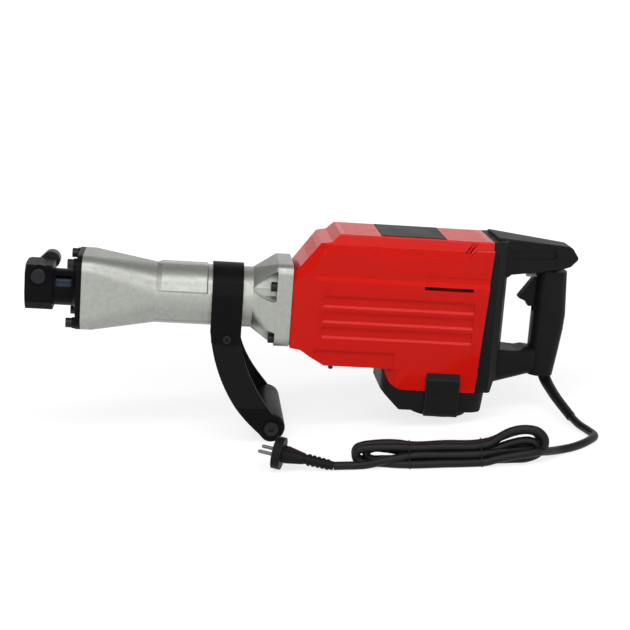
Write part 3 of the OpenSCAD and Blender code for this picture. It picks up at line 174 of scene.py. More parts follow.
def textured(name, colour, shade, rough, grain, depth, metallic=0.0, tint=0.12, stretch=(1, 1, 1),
             gloss=0.5, edge=None, drift_in_gloss=0.05, patch=45, even=()):
    """A surface with a fine grain and broad patches, sized in mm.

    Its colour drifts from colour to shade by the share tint, patch by patch, and its roughness with it. The
    grain stands up by the depth in mm. Where edge is given, the piece's rounded edges, marked by its edge
    attribute, take that lighter colour in patches: partly wear, and partly a painted highlight along the
    edges. Even holds further shader sockets that are the same all over.
    """
    material = bpy.data.materials.new(name)
    material.use_nodes = True
    tree = material.node_tree
    tree.nodes.clear()
    shader = add(tree, "ShaderNodeBsdfPrincipled")
    add(tree, "ShaderNodeOutputMaterial", {"Surface": shader.outputs["BSDF"]})
    place = add(tree, "ShaderNodeTexCoord").outputs["Object"]
    place = add(tree, "ShaderNodeMapping", {"Vector": place, "Scale": stretch}).outputs["Vector"]
    fine = add(tree, "ShaderNodeTexNoise",
               {"Vector": place, "Scale": per_mm(grain), "Detail": 3.0, "Roughness": 0.6}).outputs["Fac"]
    broad = add(tree, "ShaderNodeTexNoise",
                {"Vector": place, "Scale": per_mm(patch), "Detail": 4.0, "Roughness": 0.55}).outputs["Fac"]
    drift = add(tree, "ShaderNodeMapRange",
                {"Value": broad, "From Min": 0.35, "From Max": 0.65, "To Min": 0.0, "To Max": tint})
    drift = drift.outputs["Result"]
    skin = add(tree, "ShaderNodeMix", {"Factor": drift, 6: linear(colour), 7: linear(shade)},
               data_type="RGBA").outputs[2]
    # Painted highlight: the rounded edges take the lighter edge colour, in patches, partly as wear as well.
    if edge:
        worn_and_lit_edges = add(tree, "ShaderNodeAttribute", attribute_name="edge").outputs["Fac"]
        patchy = add(tree, "ShaderNodeMapRange",
                     {"Value": fine, "From Min": 0.35, "From Max": 0.6, "To Min": 0.45}).outputs["Result"]
        worn_and_lit_edges = add(tree, "ShaderNodeMath", {0: worn_and_lit_edges, 1: patchy}, operation="MULTIPLY").outputs[0]
        skin = add(tree, "ShaderNodeMix", {"Factor": worn_and_lit_edges, 6: skin, 7: linear(edge)},
                   data_type="RGBA").outputs[2]
    tree.links.new(skin, shader.inputs["Base Color"])
    shine = add(tree, "ShaderNodeMapRange",
                {"Value": broad, "From Min": 0.3, "From Max": 0.7, "To Min": rough - drift_in_gloss,
                 "To Max": rough + drift_in_gloss})
    tree.links.new(shine.outputs["Result"], shader.inputs["Roughness"])
    bump = add(tree, "ShaderNodeBump", {"Height": fine, "Strength": 1.0, "Distance": depth * MM})
    tree.links.new(bump.outputs["Normal"], shader.inputs["Normal"])
    for socket, value in {"Metallic": metallic, "Specular IOR Level": gloss, **dict(even)}.items():
        shader.inputs[socket].default_value = value
    return material


def glossy_abs():
    """ABS from a polished mould, in red: a deep even gloss, with a painted highlight in lighter red along its
    rounded edges.
    """
    return textured(
        "glossy_abs_red", colours().cover, "#B8120A", 0.2, 30, 0.003, tint=0.3, gloss=0.04, edge="#E8241A",
        drift_in_gloss=0.01, even={"IOR": 1.53, "Coat Weight": 0.1, "Coat Roughness": 0.06})


def filled_nylon():
    """Glass-filled nylon from a spark-eroded mould: black, with a fine dry grain that dulls its shine."""
    # Its rounded edges take a slightly lighter black: partly wear, partly a painted highlight.
    return textured(
        "glass_filled_nylon", colours().black, "#18181A", 0.5, 0.9, 0.04, tint=0.5, gloss=0.1,
        edge="#242426", even={"IOR": 1.52})


def painted_steel():
    """Stoved black enamel on steel: satin, slightly uneven over the forging below."""
    # Its rounded edges take a slightly lighter black: partly wear, partly a painted highlight.
    return textured(
        "black_enamel_steel", colours().paint, "#0F0F10", 0.42, 3.5, 0.05, tint=0.5, gloss=0.06,
        edge="#1C1C1E", even={"IOR": 1.5})


def cast_aluminium():
    """Shot-blasted cast aluminium: satin, with a sandy skin, and bright on its rounded edges, partly where they
    are rubbed and partly as a painted highlight.

    The grit's marks are about 0.5 mm wide and are drawn 1.6 mm wide, so that they show.
    """
    return textured(
        "shot_blasted_aluminium", colours().silver, "#777974", 0.4, 1.6, 0.1, metallic=0.85, tint=0.2,
        edge="#DCDED8", patch=6)


def black_oxide():
    """Black oxide on screws: nearly black steel, a little lighter on its edges, partly wear and partly a painted
    highlight.
    """
    return textured("black_oxide_steel", "#141415", "#1E1E20", 0.36, 1.2, 0.02, gloss=0.25, edge="#3A3A3C")


def dark_forging():
    """Phosphated and oiled forging: charcoal, rubbed a little lighter in patches."""
    # Its rounded edges take a lighter grey: partly wear, partly a painted highlight.
    return textured(
        "phosphated_forging", "#1B1C1E", "#2A2B2E", 0.42, 1.6, 0.05, metallic=0.3, tint=0.7, gloss=0.2,
        edge="#4A4C50")


def phosphated_steel():
    """Phosphated turned part: mid grey, dull, rubbed bright in patches."""
    return textured("phosphated_steel", "#5E6266", "#767A7E", 0.42, 1.6, 0.05, metallic=0.85, tint=0.8)


def blued_steel():
    """Heat-treated sleeve: dark blue-grey steel with ground streaks round the axis."""
    return textured(
        "blued_steel", "#171C24", "#303842", 0.3, 0.9, 0.02, metallic=0.8, tint=0.7, stretch=(6, 1, 1),
        gloss=0.2)


def ground_steel():
    """Ground steel: bright, with fine marks round the axis."""
    return textured(
        "ground_steel", "#C2C5C8", "#A9ACB0", 0.28, 0.8, 0.015, metallic=1.0, tint=0.5, stretch=(6, 1, 1))


def hardened_steel():
    """Oil-quenched steel: darker, with a brown-grey cast."""
    return textured("hardened_steel", "#74777A", "#64605C", 0.36, 1.4, 0.02, metallic=1.0, tint=0.6)


def bearing_steel():
    """Polished bearing rings and pins."""
    return textured("polished_bearing_steel", "#C8CACC", "#B2B5B8", 0.16, 2.5, 0.006, metallic=1.0)


def laminated_iron():
    """Stacked core sheets: 0.5 mm sheets drawn 2 mm thick, so that the stack shows."""
    return textured(
        "laminated_core", "#595B5E", "#3D3E40", 0.5, 2.0, 0.05, metallic=0.8, stretch=(0.02, 0.02, 1))


def copper_wire():
    """Enamelled winding wire: 0.6 mm strands drawn 1.5 mm wide, so that the winding shows."""
    return textured(
        "enamelled_copper", "#B4632B", "#7E3A16", 0.3, 1.5, 0.1, metallic=0.9, tint=0.6,
        stretch=(0.05, 0.05, 1))


def brass():
    """Drawn brass of the brush holders: bright yellow, with marks along the draw."""
    return textured("drawn_brass", "#C9A050", "#A98038", 0.32, 1.0, 0.01, metallic=1.0, stretch=(1, 6, 1))


def carbon():
    """Pressed carbon and dark inner mouldings: dry and dusty."""
    return textured("dark_inner_moulding", "#0E0E0F", "#161617", 0.62, 1.2, 0.05, tint=0.4, gloss=0.1)


def soft_rubber():
    """Moulded rubber: deep black, dull, with a faint bloom."""
    # Its rounded edges take a slightly lighter black: partly wear, partly a painted highlight.
    return textured(
        "moulded_rubber", "#0E0E0F", "#19191A", 0.52, 1.1, 0.05, tint=0.5, gloss=0.12, edge="#232324",
        even={"IOR": 1.5})


def lead_sheath():
    """Extruded rubber sheath of the lead: smooth along its length, with a soft shine."""
    return textured("rubber_lead_sheath", colours().lead, "#18181A", 0.42, 6, 0.05, tint=0.5, gloss=0.2)


def pale_button():
    """Pale moulded acetal of the lock's tip: smooth and a little waxy."""
    return textured("pale_acetal", "#C9C8C0", "#B4B2A8", 0.4, 1.5, 0.02, gloss=0.3)


def plate_film():
    """Plain dark film on an aluminium plate: smooth and satin."""
    return textured("dark_plate_film", "#1A1618", "#241F21", 0.4, 8, 0.004, tint=0.4, gloss=0.04)


FINISHES = {}


def finish(material):
    """What one of the material functions above makes, made once."""
    if material not in FINISHES:
        FINISHES[material] = material()
    return FINISHES[material]


# ---- pieces -----------------------------------------------------------------------------------

def dress(piece, material):
    """Gives a piece one finish in place of any other."""
    piece.data.materials.clear()
    piece.data.materials.append(finish(material))


def own(piece, node, material):
    """Finishes a new piece and lets it ride on the body that the node belongs to."""
    if piece.name not in bpy.context.scene.collection.objects:
        bpy.context.scene.collection.objects.link(piece)
    dress(piece, material)
    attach(piece, BODY_OF[node])
    return piece


def coat(material, *nodes):
    """Gives CAD nodes that show as they are a finish."""
    for name in nodes:
        dress(NODES[name], material)


def smooth_by_angle(bm, degrees):
    """Smooth faces, with edges sharper than the angle kept crisp."""
    limit = math.radians(degrees)
    for face in bm.faces:
        face.smooth = True
    for edge in bm.edges:
        edge.smooth = len(edge.link_faces) == 2 and edge.calc_face_angle(0) < limit


def smooth_mesh(mesh, degrees):
    """Smooths a mesh's faces, with edges sharper than the angle kept crisp."""
    bm = bmesh.new()
    bm.from_mesh(mesh)
    smooth_by_angle(bm, degrees)
    bm.to_mesh(mesh)
    bm.free()


# An edge is rounded up to this share of the edges that meet it, and an edge that runs on in nearly the
# same way, by the cosine of their angle, takes nothing from it.
EDGE_SHARE = 0.42
SAME_WAY = 0.8


def room_for_edges(bm, width, degrees):
    """Gives each sharp edge the share of the width that the faces beside it have room for."""
    layer = bm.edges.layers.float.new("bevel_weight_edge")
    for edge in bm.edges:
        if len(edge.link_faces) != 2 or edge.calc_face_angle(0) < math.radians(degrees):
            continue
        along_edge = (edge.verts[1].co - edge.verts[0].co).normalized()
        room = width
        for vert in edge.verts:
            for other in vert.link_edges:
                way = other.verts[1].co - other.verts[0].co
                if other is not edge and abs(way.normalized().dot(along_edge)) < SAME_WAY:
                    room = min(room, EDGE_SHARE * way.length)
        edge[layer] = room / width


def crease(bm, degrees, width):
    """Keeps a shallow edge crisp where the faces on both sides are wide, so only curves are smoothed."""
    for edge in bm.edges:
        if len(edge.link_faces) == 2:
            wide = min(face.calc_area() for face in edge.link_faces) / edge.calc_length() > width
            edge.smooth = not (wide and edge.calc_face_angle(0) > math.radians(degrees))


# The angle in degrees from which a crease too shallow to round stays crisp, and how wide the faces on
# both sides of it must be: for castings that blend into curves, and for flat-sided mouldings.
BLENDED = (4, 9 * MM)
FLAT_SIDED = (8, 0)
# Edges from this angle on are rounded, in degrees.
SHARP = 20
# Points of a CAD mesh closer than this are one, and faces that turn by less than this angle lie flat.
WELD = 0.02 * MM
FLAT = math.radians(0.6)


def soften(node, width, material, segments=2, crisp=BLENDED):
    """Stands a copy of a CAD node in its place, its edges rounded to the width, its flats kept flat."""
    mesh = NODES[node].data.copy()
    bm = bmesh.new()
    bm.from_mesh(mesh)
    bmesh.ops.remove_doubles(bm, verts=bm.verts, dist=WELD)
    bmesh.ops.dissolve_limit(bm, angle_limit=FLAT, verts=bm.verts, edges=bm.edges)
    room_for_edges(bm, width, SHARP)
    crease(bm, *crisp)
    for face in bm.faces:
        face.smooth = True
    bm.to_mesh(mesh)
    bm.free()
    piece = bpy.data.objects.new(node + "_finished", mesh)
    bpy.context.scene.collection.objects.link(piece)
    bevel = piece.modifiers.new("round", "BEVEL")
    bevel.width = width
    bevel.segments = segments
    bevel.limit_method = "WEIGHT"
    bevel.use_clamp_overlap = True
    # The rounded faces go to a second slot, only to mark them for the lighter edge colour below.
    bevel.material = 1
    while len(mesh.materials) < 2:
        mesh.materials.append(None)
    level = piece.modifiers.new("flats", "WEIGHTED_NORMAL")
    level.mode = "FACE_AREA"
    level.keep_sharp = True
    plain = bpy.data.meshes.new_from_object(piece.evaluated_get(bpy.context.evaluated_depsgraph_get()))
    piece.modifiers.clear()
    piece.data = plain
    # Marks the rounded faces, which the materials paint lighter: partly wear, partly a painted highlight.
    worn_and_lit_edge_mask = plain.attributes.new("edge", "FLOAT", "FACE")
    worn_and_lit_edge_mask.data.foreach_set("value", [float(face.material_index == 1) for face in plain.polygons])
    plain.polygons.foreach_set("material_index", [0] * len(plain.polygons))
    own(piece, node, material)
    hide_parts(node)
    return piece


def on_machine(x, y, z):
    """A point given in the machine's own frame in mm, as a place in metres."""
    up = Vector((-BARREL_WAY.z, 0, BARREL_WAY.x))
    return (MACHINE_AT + x * BARREL_WAY + Vector((0, y, 0)) + z * up) * MM


def plain_piece(name, parts, node, material, smooth=30):
    """A new piece made of closed parts, each given as its points and the faces between them."""
    bm = bmesh.new()
    for points, faces in parts:
        verts = [bm.verts.new(point) for point in points]
        for face in faces:
            bm.faces.new([verts[i] for i in face])
    bmesh.ops.recalc_face_normals(bm, faces=bm.faces)
    smooth_by_angle(bm, smooth)
    mesh = bpy.data.meshes.new(name)
    bm.to_mesh(mesh)
    bm.free()
    return own(bpy.data.objects.new(name, mesh), node, material)


def rings(*loops):
    """Joins loops of as many points each into a closed skin, with a cap at both ends."""
    count = len(loops[0])
    points = [point for loop in loops for point in loop]
    faces = []
    for start in range(0, len(points) - count, count):
        for k in range(count):
            after = (k + 1) % count
            faces.append((start + k, start + after, start + count + after, start + count + k))
    front_cap = tuple(range(count))
    back_cap = tuple(reversed(range(len(points) - count, len(points))))
    return points, faces + [front_cap, back_cap]


# ---- the mains lead ---------------------------------------------------------------------------

def along(points, i, t):
    """A point on the smooth curve through uneven points, t of the way from point i to the next."""
    last = len(points) - 1
    a, b, c, d = (Vector(points[min(max(k, 0), last)]) for k in (i - 1, i, i + 1, i + 2))
    before, span, after = (b - a).length, (c - b).length, (d - c).length
    leave = c - b
    if before:
        leave = ((b - a) / before * span + (c - b) / span * before) * span / (before + span)
    reach = c - b
    if after:
        reach = ((c - b) / span * after + (d - c) / after * span) * span / (span + after)
    return ((2 * t ** 3 - 3 * t ** 2 + 1) * b + (t ** 3 - 2 * t ** 2 + t) * leave
            + (3 * t ** 2 - 2 * t ** 3) * c + (t ** 3 - t ** 2) * reach)


def smooth_line(points, steps, lowest):
    """A smooth line through the points, held up by the floor where it would dip below lowest."""
    line = [along(points, i, k / steps) for i in range(len(points) - 1) for k in range(steps)]
    line.append(Vector(points[-1]))
    for place in line:
        place.z = max(place.z, lowest)
    return line


def on_floor(x, across, z):
    """A point given along the hank, across it and in height, as a place in mm."""
    turn = math.radians(HANK_TURN)
    return (HANK_AT[0] + x * math.cos(turn) - across * math.sin(turn),
            HANK_AT[1] + x * math.sin(turn) + across * math.cos(turn), z)


def hank_route():
    """The lead in, seven runs between the ties, the six folds that join them, and the tail out."""
    route = list(HANK_IN)
    for i, (across, z) in enumerate(RUNS):
        start, end = TIE_X[::-1] if i % 2 == 0 else TIE_X
        route += [(x, across, z) for x in (start, (start + end) / 2, end)]
        route += FOLDS[i] if i < len(FOLDS) else HANK_OUT
    return [on_floor(*point) for point in route]


def cord_points():
    """The lead's points in mm, from the strain relief to the plug."""
    return LEAD + hank_route() + TAIL


def tube_tree(name, sides):
    """Geometry nodes: a round tube of a given radius along a curve."""
    tree = bpy.data.node_groups.new(name, "GeometryNodeTree")
    tree.interface.new_socket("Geometry", in_out="INPUT", socket_type="NodeSocketGeometry")
    tree.interface.new_socket("Radius", in_out="INPUT", socket_type="NodeSocketFloat")
    tree.interface.new_socket("Material", in_out="INPUT", socket_type="NodeSocketMaterial")
    tree.interface.new_socket("Geometry", in_out="OUTPUT", socket_type="NodeSocketGeometry")
    given = add(tree, "NodeGroupInput")
    ring = add(tree, "GeometryNodeCurvePrimitiveCircle",
               {"Resolution": sides, "Radius": given.outputs["Radius"]})
    swept = add(tree, "GeometryNodeCurveToMesh", {
        "Curve": given.outputs["Geometry"], "Profile Curve": ring.outputs["Curve"], "Fill Caps": True})
    solid = add(tree, "GeometryNodeRealizeInstances", {"Geometry": swept.outputs["Mesh"]})
    dressed = add(tree, "GeometryNodeSetMaterial", {
        "Geometry": solid.outputs["Geometry"], "Material": given.outputs["Material"]})
    add(tree, "NodeGroupOutput", {0: dressed.outputs["Geometry"]})
    return tree


def tube(line, name, sides, radius, material, closed=False):
    """The plain mesh of a round tube along a line of points in mm."""
    guide = curve_piece(name + "_guide", line, closed)
    mesh = bake(guide, tube_tree(name + "_tube", sides), {"Radius": radius, "Material": finish(material)})
    bpy.data.objects.remove(guide)
    return mesh


def bake(piece, tree, values):
    """Runs a geometry tree on a piece with named inputs and returns the plain mesh."""
    modifier = piece.modifiers.new("nodes", "NODES")
    modifier.node_group = tree
    for item in tree.interface.items_tree:
        if item.item_type == "SOCKET" and item.in_out == "INPUT" and item.name in values:
            modifier[item.identifier] = values[item.name]
    bpy.context.view_layer.update()
    mesh = bpy.data.meshes.new_from_object(piece.evaluated_get(bpy.context.evaluated_depsgraph_get()))
    piece.modifiers.clear()
    return mesh


def curve_piece(name, line, closed):
    """A curve of straight steps through points in mm."""
    data = bpy.data.curves.new(name, "CURVE")
    data.dimensions = "3D"
    spline = data.splines.new("POLY")
    spline.points.add(len(line) - 1)
    for point, place in zip(spline.points, line):
        point.co = (*(Vector(place) * MM), 1)
    spline.use_cyclic_u = closed
    piece = bpy.data.objects.new(name, data)
    bpy.context.scene.collection.objects.link(piece)
    return piece


class HAMMER_OT_lead(bpy.types.Operator):
    """Makes the mains lead with its hank, ties, relief and plug"""

    bl_idname = "hammer.lead"
    bl_label = "Mains lead"

    def execute(self, context):
        diameter = sizes().lead_diameter
        line = smooth_line(cord_points(), 5, diameter / 2 / MM)
        mesh = tube(line, "lead", 16, diameter / 2, lead_sheath)
        smooth_mesh(mesh, 50)
        lead = own(bpy.data.objects.new("mains_lead", mesh), "cord_lead", lead_sheath)
        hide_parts("cord_lead", "cord_hank", "cord_tail")
        coat(soft_rubber, "strain_relief")
        plug = soften("plug_body", sizes().small_edge, soft_rubber)
        coat(phosphated_steel, "plug_pins")
        ties = self.ties()
        return {"FINISHED"}

    def ties(self):
        """Two wire ties drawn tight round the seven runs, just clear of the floor."""
        lowest = TIE_WIRE + 0.05
        bm = bmesh.new()
        for x in TIE_X:
            ring = []
            for k in range(36):
                a = 2 * math.pi * k / 36
                across, z = max(RUNS, key=lambda run: math.cos(a) * run[0] + math.sin(a) * run[1])
                z = max(z + TIE_REACH * math.sin(a), lowest)
                ring.append(on_floor(x, across + TIE_REACH * math.cos(a), z))
            bm.from_mesh(tube(ring, "tie", 8, TIE_WIRE * MM, lead_sheath, closed=True))
        mesh = bpy.data.meshes.new("ties")
        bm.to_mesh(mesh)
        bm.free()
        smooth_mesh(mesh, 60)
        return own(bpy.data.objects.new("hank_ties", mesh), "cord_lead", lead_sheath)


# ---- dressing ---------------------------------------------------------------------------------

PLATE_EDGE = 0.3 * MM
TRIGGER_EDGE = 1.0 * MM


class HAMMER_OT_nose(bpy.types.Operator):
    """Finishes the nose: block, pin with its lever, screws and tool sleeve"""

    bl_idname = "hammer.nose"
    bl_label = "Nose"

    def execute(self, context):
        soften("front_cover", sizes().cast_edge, painted_steel)
        soften("tool_retainer", sizes().small_edge, dark_forging)
        soften("front_cover_bolts", sizes().small_edge, black_oxide)
        coat(blued_steel, "tool_sleeve")
        coat(hardened_steel, "impact_bolt", "impact_bolt_guide")
        return {"FINISHED"}


class HAMMER_OT_barrel(bpy.types.Operator):
    """Finishes the cast barrel, its screws and what runs inside it"""

    bl_idname = "hammer.barrel"
    bl_label = "Barrel"

    def execute(self, context):
        soften("cylinder_case", sizes().cast_edge, cast_aluminium)
        pads = [self.pad(side) for side in (-1, 1)]
        plain_piece("barrel_pads", pads, "cylinder_case", cast_aluminium, smooth=8)
        soften("cylinder_case_bolts", sizes().small_edge, black_oxide)
        coat(ground_steel, "cylinder_liner", "piston")
        coat(hardened_steel, "striker", "connecting_rod")
        coat(bearing_steel, "wrist_pin", "big_end_bearing")
        coat(soft_rubber, "striker_ring", "piston_ring")
        return {"FINISHED"}

    def pad(self, side):
        """A raised pad cast on one side of the waist, with a sloping front end and a lip along its sides.

        It sits in the waist from the bed up to the face, both measured from the barrel's axis.
        """
        bed, face, lip, lowest_lip = 39.3, 43.2, 1.2, 40.2
        low, high = math.radians(12.5), math.radians(74.5)
        flat = [math.radians(15 + 57 * k / 12) for k in range(13)]
        loops = []
        for x, reach in [(171.5, 40.4), (179, face), (238.6, face), (240, 42)]:
            side_reach = max(reach - lip, lowest_lip)
            top = [(side_reach, low)] + [(reach, a) for a in flat] + [(side_reach, high)]
            loop = top + [(bed, a) for r, a in reversed(top)]
            loops.append([on_machine(x, side * r * math.cos(a), r * math.sin(a)) for r, a in loop])
        return rings(*loops)


class HAMMER_OT_gears(bpy.types.Operator):
    """Finishes the gear case and the gears and shafts in it"""

    bl_idname = "hammer.gears"
    bl_label = "Gears"

    def execute(self, context):
        # The gear case is black enamel, which also serves as a painted shade: it keeps the cover's slots over it
        # dark.
        coat(painted_steel, "crank_housing", "gear_plate", "gear_cover")
        coat(hardened_steel, "crankshaft", "crank_gear", "countershaft", "fast_gear")
        coat(bearing_steel, "crank_bearings", "countershaft_bearings", "motor_bearings")
        return {"FINISHED"}


class HAMMER_OT_motor(bpy.types.Operator):
    """Finishes the motor's inner pieces"""

    bl_idname = "hammer.motor"
    bl_label = "Motor"

    def execute(self, context):
        coat(ground_steel, "armature_shaft")
        coat(laminated_iron, "armature_core", "stator_core")
        coat(copper_wire, "commutator", "field_coils")
        # The motor tube is a dark moulding, which also serves as a painted shade: it keeps the slots over it dark.
        coat(carbon, "cooling_fan", "motor_tube", "carbon_brushes")
        coat(brass, "brush_holders")
        return {"FINISHED"}


class HAMMER_OT_cover(bpy.types.Operator):
    """Finishes the red cover and its plain plate"""

    bl_idname = "hammer.cover"
    bl_label = "Cover"

    def execute(self, context):
        soften("body_cover", sizes().cover_edge, glossy_abs, segments=3, crisp=FLAT_SIDED)
        soften("roof_cover", sizes().cover_edge, glossy_abs, segments=3, crisp=FLAT_SIDED)
        soften("name_plate", PLATE_EDGE, plate_film)
        soften("drain_plug", sizes().small_edge, soft_rubber)
        screws = [self.screw(409, side * 46, -75.5) for side in (-1, 1)]
        plain_piece("belly_screws", screws, "body_cover", black_oxide)
        return {"FINISHED"}

    def screw(self, x, y, z):
        """The head of a screw that stands out under the belly, set 1 mm into it."""
        turns = [2 * math.pi * k / 16 for k in range(16)]
        profile = [(1, 3.2), (-6.4, 3.2), (-7.2, 2.2)]
        return rings(*[[on_machine(x + r * math.cos(a), y + r * math.sin(a), z + rise) for a in turns]
                       for rise, r in profile])


class HAMMER_OT_motor_end(bpy.types.Operator):
    """Finishes the black motor end with its cap, screws and brush covers"""

    bl_idname = "hammer.motor_end"
    bl_label = "Motor end"

    def execute(self, context):
        soften("motor_end_housing", sizes().moulded_edge, filled_nylon, segments=3, crisp=FLAT_SIDED)
        soften("motor_end_cap", sizes().cast_edge, filled_nylon)
        soften("brush_covers", sizes().cast_edge, filled_nylon)
        coat(black_oxide, "end_cap_screws")
        return {"FINISHED"}


class HAMMER_OT_rear_handle(bpy.types.Operator):
    """Finishes the rear handle, its trigger and its lock"""

    bl_idname = "hammer.rear_handle"
    bl_label = "Rear handle"

    def execute(self, context):
        for side in ("near", "far"):
            soften("handle_shell_" + side, sizes().moulded_edge, filled_nylon, segments=3)
        coat(black_oxide, "handle_screws")
        coat(carbon, "switch_body")
        soften("trigger", TRIGGER_EDGE, filled_nylon)
        soften("trigger_lock", sizes().small_edge, pale_button)
        return {"FINISHED"}


class HAMMER_OT_side_handle(bpy.types.Operator):
    """Finishes the side handle"""

    bl_idname = "hammer.side_handle"
    bl_label = "Side handle"

    def execute(self, context):
        soften("side_handle_strap", sizes().small_edge, painted_steel)
        soften("side_handle_saddle", sizes().cast_edge, painted_steel)
        soften("side_handle_grip", sizes().cast_edge, soft_rubber)
        coat(dark_forging, "side_handle_clamp_bolt")
        coat(black_oxide, "side_handle_grip_bolt")
        return {"FINISHED"}


# ---- studio -----------------------------------------------------------------------------------

# Where the camera stands in metres, its lens in mm, and its turn in degrees: left or right, down, and
# about its own line of sight.
CAMERA_AT = (-0.11605, -1.9144, 0.6053)
CAMERA_LENS = 82.86
CAMERA_TURN = (-3.853, 13.352, -2.978)
# The lamps: name, place, size in metres, power in watts. All of them point at the machine's middle.
LAMPS = [
    ("softbox_key", (0.0, -2.3, 1.35), (3.2, 1.5), 33),
    ("strip_over", (0.0, -1.0, 2.0), (3.0, 0.45), 22),
    ("softbox_left", (-2.2, -1.6, 0.95), (1.2, 1.2), 10),
    ("softbox_right", (2.4, -1.2, 0.8), (1.0, 1.0), 5)]
LAMPS_AIM = (0, 0, 0.12)
# The floor's glow for the camera and in reflections, under the machine and far away, and the distances
# between which it grows: dimmer under the machine, a painted shade round it.
FLOOR_GLOW = (0.76, 0.95)
FLOOR_GLOW_AT = (0.3, 1.6)
FLOOR_GREY = 0.3
# So wide that its edge is the horizon.
FLOOR_HALF_WIDTH = 120


def pale_paper():
    """Matt white paper, which takes a shadow and glows for the camera and in reflections, less near the machine as
    a painted shade round it.
    """
    material = bpy.data.materials.new("pale_paper_floor")
    material.use_nodes = True
    tree = material.node_tree
    tree.nodes.clear()
    path = add(tree, "ShaderNodeLightPath")
    seen = add(tree, "ShaderNodeMath", {0: path.outputs["Is Camera Ray"], 1: path.outputs["Is Glossy Ray"]},
               operation="MAXIMUM")
    seen = add(tree, "ShaderNodeMath", {0: seen.outputs[0], 1: path.outputs["Is Transmission Ray"]},
               operation="MAXIMUM")
    place = add(tree, "ShaderNodeTexCoord").outputs["Object"]
    away = add(tree, "ShaderNodeVectorMath", {0: place}, operation="LENGTH").outputs["Value"]
    # Painted shade: the glow is dimmer near the machine and grows towards the horizon.
    glow = add(tree, "ShaderNodeMapRange",
               {"Value": away, "From Min": FLOOR_GLOW_AT[0], "From Max": FLOOR_GLOW_AT[1],
                "To Min": FLOOR_GLOW[0], "To Max": FLOOR_GLOW[1]}).outputs["Result"]
    lit = add(tree, "ShaderNodeBsdfDiffuse", {"Color": (FLOOR_GREY, FLOOR_GREY, FLOOR_GREY, 1)})
    glow = add(tree, "ShaderNodeEmission", {"Color": (1, 1, 1, 1), "Strength": glow})
    both = add(tree, "ShaderNodeAddShader", {0: lit.outputs[0], 1: glow.outputs[0]})
    chosen = add(tree, "ShaderNodeMixShader", {0: seen.outputs[0], 1: lit.outputs[0], 2: both.outputs[0]})
    add(tree, "ShaderNodeOutputMaterial", {"Surface": chosen.outputs[0]})
    return material


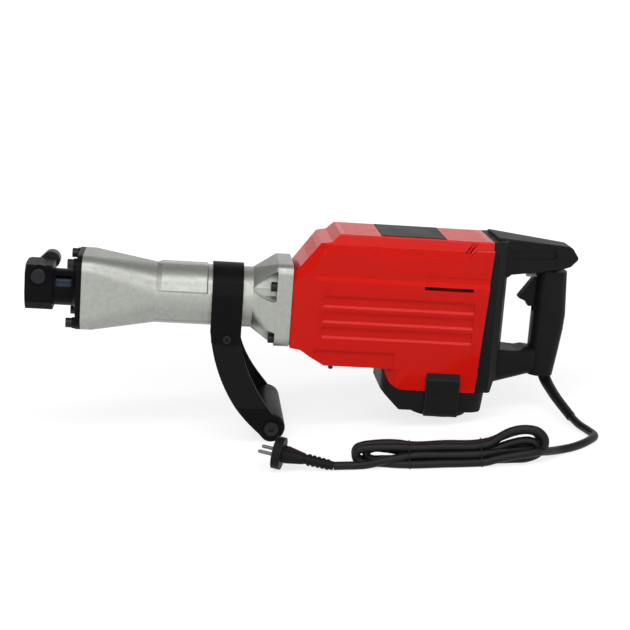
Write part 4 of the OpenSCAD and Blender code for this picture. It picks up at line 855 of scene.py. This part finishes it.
class HAMMER_OT_stage(bpy.types.Operator):
    """Sets up the camera, the floor, the world and the lamps"""

    bl_idname = "hammer.stage"
    bl_label = "Stage"

    def execute(self, context):
        self.camera()
        self.floor()
        self.world()
        self.lamps()
        bpy.context.scene.view_settings.view_transform = "Standard"
        return {"FINISHED"}

    def camera(self):
        """A camera that looks slightly down on the machine's near side."""
        data = bpy.data.cameras.new("camera")
        data.sensor_width = 36
        data.lens = CAMERA_LENS
        camera = bpy.data.objects.new("camera", data)
        bpy.context.scene.collection.objects.link(camera)
        az, el, roll = (math.radians(angle) for angle in CAMERA_TURN)
        back = Vector((math.sin(az) * math.cos(el), -math.cos(az) * math.cos(el), math.sin(el)))
        level = Vector((math.cos(az), math.sin(az), 0))
        right = math.cos(roll) * level + math.sin(roll) * back.cross(level)
        turn = Matrix((right, back.cross(right), back)).transposed().to_4x4()
        camera.matrix_world = Matrix.Translation(CAMERA_AT) @ turn
        bpy.context.scene.camera = camera

    def floor(self):
        """A sheet of pale paper as far as the horizon."""
        mesh = bpy.data.meshes.new("floor")
        bm = bmesh.new()
        bmesh.ops.create_grid(bm, x_segments=1, y_segments=1, size=FLOOR_HALF_WIDTH)
        bm.to_mesh(mesh)
        bm.free()
        floor = bpy.data.objects.new("floor", mesh)
        mesh.materials.append(pale_paper())
        bpy.context.scene.collection.objects.link(floor)

    def world(self):
        """A light room: a white sheet rises behind the right side to half height, under a grey ceiling."""
        world = bpy.data.worlds.new("studio")
        bpy.context.scene.world = world
        world.use_nodes = True
        tree = world.node_tree
        tree.nodes.clear()
        place = add(tree, "ShaderNodeTexCoord").outputs["Generated"]
        way = add(tree, "ShaderNodeSeparateXYZ", {"Vector": place}).outputs
        left = add(tree, "ShaderNodeMath", {0: way["X"], 1: 0.0}, operation="MINIMUM").outputs[0]
        sheet = add(tree, "ShaderNodeMath", {0: left, 1: 7.0, 2: way["Y"]},
                    operation="MULTIPLY_ADD").outputs[0]
        sheet = add(tree, "ShaderNodeMath", {0: sheet, 1: 0.0}, operation="MAXIMUM").outputs[0]
        above = add(tree, "ShaderNodeMath", {0: way["Z"], 1: sheet}, operation="SUBTRACT").outputs[0]
        fall = add(tree, "ShaderNodeValToRGB", {"Fac": above})
        stops = fall.color_ramp.elements
        stops[0].position, stops[0].color = 0.02, (1, 1, 1, 1)
        stops[1].position, stops[1].color = 0.35, (0.3, 0.3, 0.3, 1)
        middle = stops.new(0.12)
        middle.color = (0.6, 0.6, 0.6, 1)
        room = add(tree, "ShaderNodeBackground", {"Color": fall.outputs["Color"], "Strength": 1.0})
        add(tree, "ShaderNodeOutputWorld", {"Surface": room.outputs[0]})

    def lamps(self):
        """Soft lamps in front, overhead and at both sides."""
        for name, place, size, power in LAMPS:
            data = bpy.data.lights.new(name, "AREA")
            data.shape = "RECTANGLE"
            data.size, data.size_y = size
            data.energy = power
            lamp = bpy.data.objects.new(name, data)
            bpy.context.scene.collection.objects.link(lamp)
            lamp.location = place
            lamp.rotation_euler = (Vector(LAMPS_AIM) - Vector(place)).to_track_quat("-Z", "Y").to_euler()


class HAMMER_PT_panel(bpy.types.Panel):
    """Lists the sizes, the colours and the steps"""

    bl_idname = "HAMMER_PT_panel"
    bl_label = "Demolition hammer"
    bl_space_type = "VIEW_3D"
    bl_region_type = "UI"
    bl_category = "Hammer"

    def draw(self, context):
        for group in (context.scene.hammer_sizes, context.scene.hammer_colours):
            for key in group.__annotations__:
                self.layout.prop(group, key)
        for step in STEPS:
            self.layout.operator(step.bl_idname)


STEPS = (HAMMER_OT_stage, HAMMER_OT_lead, HAMMER_OT_nose, HAMMER_OT_barrel, HAMMER_OT_gears, HAMMER_OT_motor,
         HAMMER_OT_cover, HAMMER_OT_motor_end, HAMMER_OT_rear_handle, HAMMER_OT_side_handle)
CLASSES = (HammerSizes, HammerColours) + STEPS + (HAMMER_PT_panel,)


def register():
    """Registers the classes and puts the sizes and colours in the scene."""
    for cls in CLASSES:
        bpy.utils.register_class(cls)
    bpy.types.Scene.hammer_sizes = PointerProperty(type=HammerSizes)
    bpy.types.Scene.hammer_colours = PointerProperty(type=HammerColours)


def unregister():
    """Takes back all that register did."""
    del bpy.types.Scene.hammer_sizes
    del bpy.types.Scene.hammer_colours
    for cls in reversed(CLASSES):
        bpy.utils.unregister_class(cls)


def main():
    """Runs every step in order."""
    register()
    for step in STEPS:
        group, name = step.bl_idname.split(".")
        getattr(getattr(bpy.ops, group), name)()


if __name__ == "__main__":
    main()
